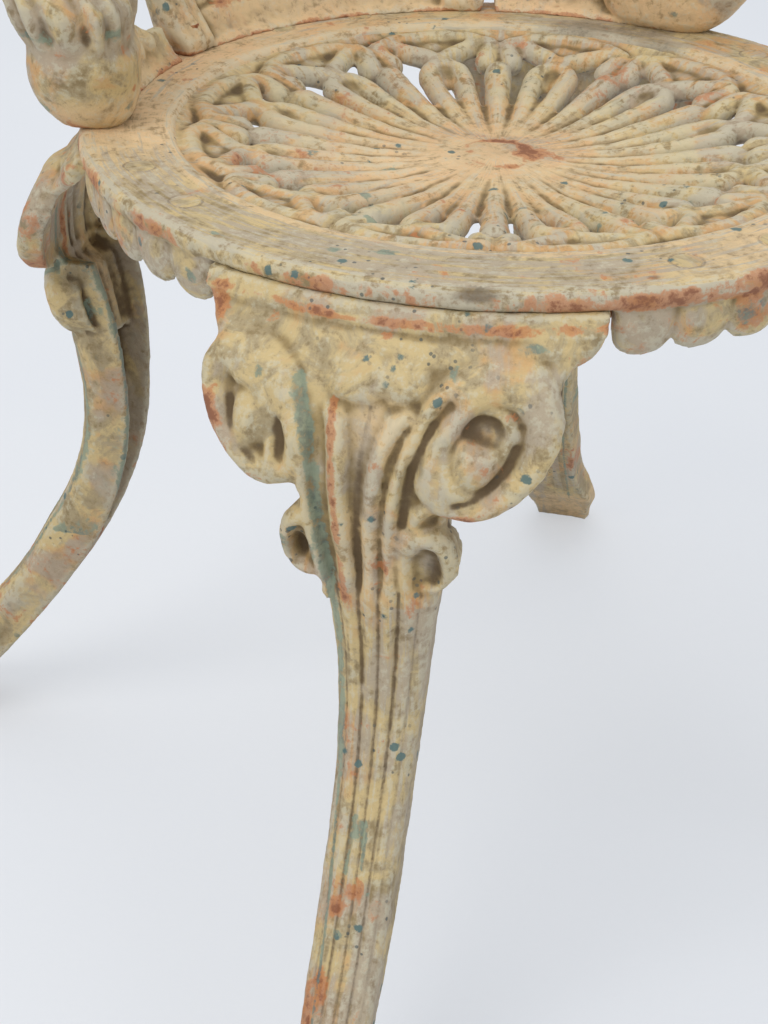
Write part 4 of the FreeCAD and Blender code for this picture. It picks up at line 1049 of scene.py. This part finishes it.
def hoop_reach(direction):
    """Distance from the fan's centre to the middle of the hoop."""
    run, rise = math.cos(math.radians(direction)), math.sin(math.radians(direction))
    edge = BACK_SIDE + [(-x, z) for x, z in reversed(BACK_SIDE[:-1])]
    far = 0.0
    for (x0, z0), (x1, z1) in zip(edge, edge[1:]):
        side = run * (z1 - z0) - rise * (x1 - x0)
        if abs(side) < 1e-9:
            continue
        distance = (x0 * (z1 - z0) - (z0 - FAN_HEIGHT) * (x1 - x0)) / side
        share_x, share_z = distance * run - x0, FAN_HEIGHT + distance * rise - z0
        share = (share_x * (x1 - x0) + share_z * (z1 - z0)) / ((x1 - x0) ** 2 + (z1 - z0) ** 2)
        if distance > 0 and -0.01 <= share <= 1.01:
            far = max(far, distance)
    return far


def fan_on_back(part):
    """Bend a flat fan, drawn about its centre, onto the shell and stretch its ribs to the hoop."""
    points, faces = part
    bent = []
    for x, y, z in points:
        distance = math.hypot(x, y)
        direction = math.degrees(math.atan2(y, x))
        if direction < -60:
            direction += 360
        if distance > BOSS:
            distance = BOSS + (distance - BOSS) * (hoop_reach(direction) - BOSS) / (FAN_REACH - BOSS)
        bent.append(tuple(on_back(distance * math.cos(math.radians(direction)),
                                  FAN_HEIGHT + distance * math.sin(math.radians(direction)), -z)))
    return bent, faces


def fan_unit():
    """One rib of the fan, with half a pointed arch to each side at its outer end."""
    rib = rod([(14, 0, 0), (60, 0, 0), (120, 0, 0), (170, 0, 0), (198, 0, 0)], [2.8, 3.3, 3.9, 4.6, 4.8], sides=10)
    bead = rod([(150, 0, 4.2), (166, 0, 5.0)], [3.4, 3.4], sides=8)
    parts = [rib, bead]
    half = FAN_STEP / 2
    for side in (-1, 1):
        path = []
        for share, distance in ((0.0, 158), (0.25, 168), (0.5, 176), (0.75, 183), (1.0, 192)):
            turn = math.radians(side * half * share)
            path.append((distance * math.cos(turn), distance * math.sin(turn), 0.5))
        parts.append(rod(path, [3.6, 3.2, 3.0, 3.0, 3.4], sides=8))
    return joined(parts)


def fan_parts():
    arches = ringed(fan_unit(), FAN_RIBS, FAN_FIRST, FAN_STEP, iron_back)
    petals = ringed(rod([(9, 0, 4.0), (16, 0, 5.2), (25, 0, 3.0)], [2.6, 4.6, 3.6], sides=10), 12, 0.0, 30.0, iron_back)
    boss = [(0.01, 7.6), (4, 7.2), (7.5, 5.4), (9, 3.4), (14, 3.4), (24, 2.8), (28.5, 0.8), (29.5, -2), (28.5, -6),
            (20, -8.5), (0.01, -9)]
    return [fan_on_back(part) for part in (arches, petals, lathe(boss, 72, base=0.0))]


PANEL_EDGE = [(0, 90), (70, 76), (127, 66), (121, 50), (106, 22), (104, 0)]


def panel_relief(across, height):
    face = Relief(np.abs(across), height)
    face.ridge([(-8, 12), (20, 9), (60, 9), (100, 10)], 4.0, 2.4)
    for x, z in ((7, 52), (20, 48), (32, 40)):
        face.ridge([(2, 20), (x * 0.55, (z + 20) * 0.5), (x, z)], (2.5, 5.5), (2.0, 4.2))
    face.ridge([(0, 18), (0, 40), (0, 58)], (3.0, 6.0), (2.5, 4.6))
    face.ridge([(38, 22), (52, 18), (68, 24), (76, 38), (70, 52), (58, 55), (50, 47), (54, 38), (62, 38)],
               (3.5, 5.0), 4.2)
    face.ridge([(72, 22), (84, 20), (96, 28), (104, 44), (108, 56)], (3.0, 5.0), 3.6)
    face.ridge([(80, 30), (88, 40), (92, 54)], (2.4, 3.6), 2.6)
    face.dome(62, 39, 9, 9, -2.0)
    face.ridge([(0, 82), (60, 71), (120, 62)], 4.2, 2.8)
    return face.lift


def panel_part():
    across, height = np.meshgrid(np.arange(-130.0, 130.5, 1.5), np.arange(0.0, 92.0, 1.5))
    outline = PANEL_EDGE + [(-x, z) for x, z in reversed(PANEL_EDGE[1:])]
    mask = inside_of(outline, across, height + 0.01)
    lift = panel_relief(across, height)
    radius = shell_radius(height)

    def wrapped(out):
        full = radius + out
        return np.stack([across, np.sqrt(full ** 2 - across ** 2), SEAT_TOP + height], axis=-1)

    return slab(across, height, mask, wrapped(-3.2 - lift), wrapped(3.8 + lift * 0.25))


RAIL = [(189.5, 0.0), (190.5, 1.6), (195.0, 4.6), (199.0, 9.0), (201.3, 14.0), (203.0, 17.0), (206.0, 17.8),
        (209.0, 16.5), (211.0, 12.0), (211.6, 5.0), (211.6, 0.0)]


def rail_part(first, last):
    return lathe(RAIL, 90, first, last - first)


def back_parts():
    parts = fan_parts() + [panel_part(), rail_part(59.6, 120.4)]
    side = smooth_path(BACK_SIDE + [(-x, z) for x, z in reversed(BACK_SIDE[:-1])], 120)
    parts.append(rod([on_back(x, z) for x, z in side], [7.6] * len(side), sides=14))
    inner = [on_back(x * 0.945, FAN_HEIGHT + (z - FAN_HEIGHT) * 0.972, -4.6) for x, z in side[8:-8]]
    parts.append(rod(inner, [2.9] * len(inner), sides=8))
    outer = [on_back(x * 1.035, z + 4.0 * max(0, z - 250) / 150, -1.0) for x, z in side[6:-6]]
    parts.append(rod(outer, [3.2] * len(outer), sides=8))
    for x, z, long, wide in ((0, 392, 12, 4.4), (13, 389, 11, 3.8), (-13, 389, 11, 3.8), (25, 383, 9, 3.2),
                             (-25, 383, 9, 3.2)):
        lean = x * 0.35
        leaf = [on_back(x, z - long, -6), on_back(x + lean * 0.4, z, -7.0), on_back(x + lean * 0.8, z + 6, -4)]
        parts.append(rod(leaf, [2.4, wide, wide * 0.6], sides=10))
    for turn in (63.0, 117.0):
        cos, sin = math.cos(math.radians(turn)), math.sin(math.radians(turn))
        for swing, wide in ((-2.6, 5.5), (0.0, 7.0), (2.6, 5.5)):
            c, s = math.cos(math.radians(turn + swing)), math.sin(math.radians(turn + swing))
            path = [(r * c, r * s, SEAT_TOP + h) for r, h in ((192.5, 5.0), (199, 10), (206, 19), (212, 31), (220, 46))]
            parts.append(rod(path, [wide * 0.7, wide, wide, wide * 0.85, 2.0], sides=12))
    return parts


back = cast("back", back_parts(), 1.7, 2, [(16.0, 0.4), (3.4, 0.18)], "back", iron_back)
reach, turn, height = round_places(back.data)
stain(back.data, "reeded", np.clip((height - 95) / 20, 0, 1))
stain(back.data, "cream", 0.8 * np.clip(1.2 - height / 40, 0, 1) * (reach < 212))
for kind, marks in (
        ("grey", [(100, 60, 10, 20), (76, 50, 12, 20), (90, 240, 20, 90), (60, 230, 10, 60), (122, 180, 8, 60)]),
        ("rust", [(90, 94, 8, 8), (120, 206, 3, 9), (60, 206, 3, 9), (104, 20, 6, 5), (70, 14, 5, 5)]),
        ("teal", [(108, 26, 2, 5), (82, 36, 2, 6), (112, 120, 2, 8), (70, 150, 2, 9), (95, 380, 4, 4)])):
    # rust along the foot where the back meets the rim, which also stands in for the painted shadow line there
    at_foot = 0.8 * np.clip(1.6 - height / 2.0, 0, 1) if kind == "rust" else 0.0
    stain(back.data, kind, patches(turn, height, marks) + at_foot)


# Arms: a fluted foot on the rim, a reeded post and a rest with a rolled end

ARM_FOOT = 150.0
FOOT_INNER = [(0, 190), (4, 186.5), (12, 184.2), (24, 183.6), (36, 184.2), (41, 186.5), (50, 184), (62, 184), (76, 196),
              (90, 218), (112, 241)]
FOOT_OUTER = [(0, 224), (5, 229), (12, 234.5), (20, 238), (30, 239.3), (37, 238.6), (42, 238.5), (50, 243.5),
              (65, 249.5), (90, 251.5), (112, 249.5)]
FOOT_HALF = [(0, 23), (6, 28.5), (14, 33), (24, 37.5), (36, 41), (41, 40.5), (50, 45), (64, 47.5), (76, 42), (88, 33),
             (100, 22), (112, 13)]


def arm_place(turn, radius, across, height):
    cos, sin = math.cos(math.radians(turn)), math.sin(math.radians(turn))
    return (radius * cos - across * sin, radius * sin + across * cos, SEAT_TOP + height)


def foot_part(turn, spread):
    """A rounded toe under a fluted flaring leaf; spread widens the toe on its front side."""
    rings = []
    for level in np.concatenate([np.arange(0, 112, 1.6), [112.0]]):
        here = np.array([level])
        inner, outer, half = (float(along(curve, here)[0]) for curve in (FOOT_INNER, FOOT_OUTER, FOOT_HALF))
        middle, depth = (inner + outer) / 2, (outer - inner) / 2
        flute = 5.0 * float(smooth_step(here, 41, 52)[0]) * float(1 - 0.75 * smooth_step(here, 84, 108)[0])
        flute = min(flute, depth * 0.35)
        section = []
        for step in range(96):
            angle = 2 * math.pi * step / 96
            c, s = math.cos(angle), math.sin(angle)
            across = half * math.copysign(abs(c) ** 0.72, c)
            out = depth * math.copysign(abs(s) ** 0.72, s)
            dig = flute * (0.5 - 0.5 * math.cos(14 * angle)) ** 0.7
            length = math.hypot(across, out)
            across -= across / length * dig
            out -= out / length * dig
            if across < 0:
                across *= 1 + spread * (1 - float(smooth_step(here, 26, 62)[0]))
            section.append(arm_place(turn, middle + out, across, level))
        rings.append(section)
    return lofted(rings)


def arm_parts(hand):
    """hand is 1 for the arm on the left of the picture and -1 for the other."""
    def facing(turn):
        return turn if hand > 0 else 180.0 - turn

    def spot(turn, radius, height):
        angle = math.radians(facing(turn))
        return (radius * math.cos(angle), radius * math.sin(angle), SEAT_TOP + height)

    parts = [foot_part(facing(ARM_FOOT), 0.0 if hand > 0 else 0.5)]
    first, last = sorted((facing(122.6), facing(ARM_FOOT + 1)))
    parts.append(rail_part(first, last))
    # leaves that climb from the rail behind the foot
    for turn, reach in ((140.5, 40), (136.0, 34), (131.5, 28), (127.5, 22)):
        path = [spot(turn, 203, 12), spot(turn - 0.8, 209, reach * 0.6), spot(turn + 0.4, 216, reach)]
        parts.append(rod(path, [5.5, 6.0, 3.5], sides=12))
    # post
    trail = [(150, 90), (150.6, 104), (152.2, 120), (154.8, 136), (158.4, 152), (162.6, 168), (166.8, 183),
             (170.5, 196)]
    for swing, out, wide in ((0.0, 0.0, 1.0), (-2.0, 1.0, 0.62), (2.0, 1.0, 0.62), (0.0, -4.0, 0.6)):
        path = [spot(turn + swing, float(shell_radius(height)) + out, height) for turn, height in trail]
        parts.append(rod(path, [wide * size for size in (11, 10, 9.4, 8.6, 8.0, 7.8, 8.4, 9.5)], sides=14))
    curl = [(160.5, 196), (157.5, 186), (158.5, 176), (162.0, 174), (163.5, 180), (161.5, 183)]
    parts.append(rod([spot(turn, float(shell_radius(height)), height) for turn, height in curl],
                     [4.6, 4.6, 4.4, 4.0, 3.6, 3.4], sides=10))
    # rest, with a bead along both edges
    profile = [(239, 198.6), (246, 197.3), (255, 197.2), (264, 197.3), (270, 198.8), (270.8, 202), (268.5, 205),
               (262, 206.2), (254.5, 206.8), (247, 206.2), (240, 205), (238.3, 202)]
    first, last = sorted((facing(127.0), facing(181.0)))
    parts.append(lathe(profile, 160, first, last - first))
    for radius in (241.5, 267.6):
        path = [spot(turn, radius, 203.6) for turn in np.linspace(128, 181, 40)]
        parts.append(rod(path, [2.9] * len(path), sides=8))
    end = [(0.01, 11.2), (4, 10.8), (6.5, 9.2), (8.5, 8.4), (11, 9.0), (14.5, 9.4), (17, 7.4), (17.8, 4.6), (17, 2),
           (13, 0.6), (0.01, 0.2)]
    dish, faces = lathe(end, 72, base=SEAT_TOP + 197)
    centre = spot(181.0, 254.5, 0)
    parts.append(([(x + centre[0], y + centre[1], z) for x, y, z in dish], faces))
    # lug that is bolted to the back
    first, last = sorted((facing(117.6), facing(130.0)))
    lug = [(float(shell_radius(193)) + 5.0, 193.5), (261.5, 193.5), (263, 195.5), (263, 219), (261.5, 221),
           (float(shell_radius(221)) + 5.0, 221)]
    parts.append(lathe(lug, 24, first, last - first))
    return parts


for arm_node, arm_hand in (("left_arm", 1), ("right_arm", -1)):
    arm = cast(arm_node, arm_parts(arm_hand), 1.5, 2, [(16.0, 0.4), (3.4, 0.18)], arm_node, iron_back)
    reach, turn, height = round_places(arm.data)
    swing = (turn if arm_hand > 0 else 180 - turn) - ARM_FOOT
    stain(arm.data, "reeded", np.clip((height - 40) / 20, 0, 1))
    stain(arm.data, "grey", patches(swing, height, [(3, 46, 9, 8), (-5, 62, 4, 14), (2, 64, 3, 14), (8, 60, 3, 12),
                                                    (0, 160, 8, 40)]))
    stain(arm.data, "cream", 0.8 * patches(swing, height, [(-7, 30, 6, 16), (0, 10, 14, 9), (-14, 10, 10, 14)])
          + 0.7 * (arm_hand < 0) * np.clip((46 - height) / 12, 0, 1))
    # rust along the foot where the arm meets the rim, which also stands in for the painted shadow line there
    stain(arm.data, "rust", patches(swing, height, [(2, 24, 2.2, 4), (5, 20, 1.6, 3), (-1, 70, 2, 10)]) * (reach < 215)
          + 0.8 * np.clip(1.6 - height / 2.0, 0, 1))
    stain(arm.data, "teal", patches(swing, height, [(6, 12, 1.5, 4), (9, 52, 2.2, 5), (-9, 52, 1.2, 4)]))
    # painted shade in the flutes and along the foot where it stands on the rim, laid as the "dark" stain
    flute_shade = patches(swing, height, [(-2, 56, 1.2, 9), (5, 58, 1.2, 9), (-9, 58, 1.0, 8), (11, 56, 1.0, 8)])
    stain(arm.data, "dark", 0.6 * flute_shade + 0.6 * np.clip(1.2 - height / 1.6, 0, 1))


# Screws, bolts and their square nuts: rusty, and painted over where they show

def old_steel():
    """Rusted iron with the last of the paint on it."""
    f = Finish("rusted_steel")
    where = f.place()
    patch = f.cloud(where, 150.0, 5.0, 0.65, 0.6)
    fine = f.cloud(where, 620.0, 3.0, 0.6)
    colour = f.blend((patch * 0.6 + fine * 0.4).within(0.42, 0.60), RED_RUST, RUST)
    colour = f.blend((1.0 - patch).within(0.50, 0.64) * 0.8, colour, BROWN)
    colour = f.blend(fine.within(0.55, 0.62) * 0.5, colour, GREIGE)
    f.surface(colour, fine + patch, 0.5, 0.0008, 0.6 + fine * 0.3)
    return f.material


rusted_steel = old_steel()
iron_screw = weathered_iron("screw_paint", "down", grey=0.03)
for fastener, coat in (("leg_screws", iron_screw), ("leg_nuts", rusted_steel), ("arm_bolts", rusted_steel),
                       ("back_bolts", rusted_steel), ("joint_bolts", rusted_steel), ("joint_nuts", rusted_steel)):
    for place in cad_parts[fastener].material_slots:
        place.material = coat


def square_nut(reach):
    """A square nut with rounded corners on the end of its screw, drawn at its place on the x axis."""
    rings = []
    for drop, size in ((-18.1, 5.9), (-18.6, 6.4), (-23.6, 6.4), (-24.4, 5.7)):
        ring = []
        for step in range(32):
            angle = 2 * math.pi * (step + 0.5) / 32
            c, s = math.cos(angle), math.sin(angle)
            stretch = size / max(abs(c) ** 6 + abs(s) ** 6, 1e-9) ** (1 / 6)
            ring.append((reach + c * stretch, s * stretch, SEAT_TOP + drop))
        rings.append(ring)
    return lofted(rings)


def screw_end(reach):
    return rod([(reach, 0, SEAT_TOP - 23.0), (reach, 0, SEAT_TOP - 25.9)], [3.9, 3.6], sides=16, up=(0, 1, 0))


def screw_head(reach):
    """A round head let into the rim."""
    rings = []
    for drop, size in ((-3.4, 4.2), (-2.6, 7.2), (-0.9, 7.4), (0.15, 7.0), (0.4, 6.2), (0.35, 3.0)):
        rings.append([(reach + size * math.cos(2 * math.pi * step / 32), size * math.sin(2 * math.pi * step / 32),
                       SEAT_TOP + drop) for step in range(32)])
    return lofted(rings)


def fixed(name, part, firsts, count, step, node, coat):
    """Rings of one fastener, as one piece that replaces its node."""
    shapes = [ringed(part, count, first, step, coat) for first in firsts]
    item = thing(name, mesh_of(name, *joined(shapes)))
    for polygon in item.data.polygons:
        polygon.use_smooth = False
    item.data.materials.append(coat)
    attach(item, "root")
    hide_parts(node)
    return item


fixed("leg_screw_heads", screw_head(192.0), (7.6, 82.4), 4, 90.0, "leg_screws", iron_screw)
fixed("leg_screw_nuts", joined([square_nut(192.0), screw_end(192.0)]), (7.6, 82.4), 4, 90.0, "leg_nuts", rusted_steel)


# Floor, light and camera

def plain_paper(name, colour):
    f = Finish(name)
    f.skin.inputs["Roughness"].default_value = 0.95
    where = f.place()
    tone = f.cloud(where, 1.4, 3.0)
    weave = f.cloud(where, 260.0, 2.0)
    f.surface(f.blend(tone.within(0.35, 0.65), colour, srgb(220, 222, 226)), weave, 0.12, 0.001)
    # half of what the camera sees is the cloth's own pale tone, so that the shadow on it stays faint
    seen = f.add("ShaderNodeLightPath")
    rays = (seen + f.add("ShaderNodeLightPath", out=3) + f.add("ShaderNodeLightPath", out=6)).clipped()
    glow = f.add("ShaderNodeEmission", None, {"Color": srgb(230, 234, 239), "Strength": 1.0})
    shown = f.add("ShaderNodeMixShader", None, [rays * 0.55, f.skin_out(), glow])
    f.links.new(shown.socket, f.output.inputs[0])
    return f.material


def make_floor():
    """A wide round cloth, so that its edge is far off from every side."""
    reaches = [1.0, 3.0, 8.0, 40.0]
    points = [(0.0, 0.0, 0.0)]
    faces = []
    for reach in reaches:
        points += [(1000 * reach * math.cos(math.radians(turn)), 1000 * reach * math.sin(math.radians(turn)), 0.0)
                   for turn in range(0, 360, 10)]
    for number in range(36):
        other = (number + 1) % 36
        faces.append((0, 1 + number, 1 + other))
        for ring in range(len(reaches) - 1):
            low, high = 1 + 36 * ring, 37 + 36 * ring
            faces.append((low + number, high + number, high + other, low + other))
    floor = thing("floor_cloth", mesh_of("floor_cloth", points, faces))
    floor.data.materials.append(plain_paper("cloth_white", srgb(226, 227, 229)))


def lamp(name, place, aim, size, power, colour=(1, 1, 1)):
    light = bpy.data.lights.new(name, "AREA")
    light.shape = "DISK"
    light.size = size
    light.energy = power
    light.color = colour
    item = bpy.data.objects.new(name, light)
    bpy.context.scene.collection.objects.link(item)
    item.location = place
    item.rotation_euler = (Vector(aim) - Vector(place)).to_track_quat("-Z", "Y").to_euler()
    return item


make_floor()
seat_centre = (0.0, 0.0, 0.4)
lamp("key", (-1.9, -0.6, 2.3), seat_centre, 1.6, 34.0, (1.0, 0.985, 0.96))
lamp("fill", (0.9, -2.2, 1.7), seat_centre, 2.2, 16.0, (0.96, 0.98, 1.0))
lamp("top", (0.3, 0.6, 2.9), seat_centre, 2.4, 20.0)

world = bpy.data.worlds.new("soft_room")
bpy.context.scene.world = world
world.use_nodes = True
world.node_tree.nodes["Background"].inputs["Color"].default_value = srgb(236, 240, 248) + (1.0,)
world.node_tree.nodes["Background"].inputs["Strength"].default_value = 0.75
bpy.context.scene.view_settings.view_transform = "Standard"


def place_camera():
    """The photograph's view, worked out from the rim's ellipse and the height of the legs."""
    yaw, pitch, roll = (math.radians(angle) for angle in (-3.09, 30.58, 1.36))
    right = Vector((math.cos(yaw), -math.sin(yaw), 0))
    ahead = Vector((math.sin(yaw) * math.cos(pitch), math.cos(yaw) * math.cos(pitch), -math.sin(pitch)))
    above = right.cross(ahead)
    level = right.copy()
    right = math.cos(roll) * level + math.sin(roll) * above
    above = -math.sin(roll) * level + math.cos(roll) * above
    turn = math.radians(-34.3)
    spin = Matrix.Rotation(turn, 3, "Z")
    right, above, ahead = spin @ right, spin @ above, spin @ ahead
    data = bpy.data.cameras.new("camera")
    camera = bpy.data.objects.new("camera", data)
    bpy.context.scene.collection.objects.link(camera)
    from_seat = spin @ Vector((0.0, -1.002, 0.355))
    camera.matrix_world = Matrix(((right.x, above.x, -ahead.x, from_seat.x),
                                  (right.y, above.y, -ahead.y, from_seat.y),
                                  (right.z, above.z, -ahead.z, from_seat.z + SEAT_TOP * MM),
                                  (0, 0, 0, 1)))
    data.sensor_width = 36.0
    data.lens = 2019.0 / 1024 * 36.0
    data.clip_end = 40.0
    bpy.context.scene.camera = camera


place_camera()
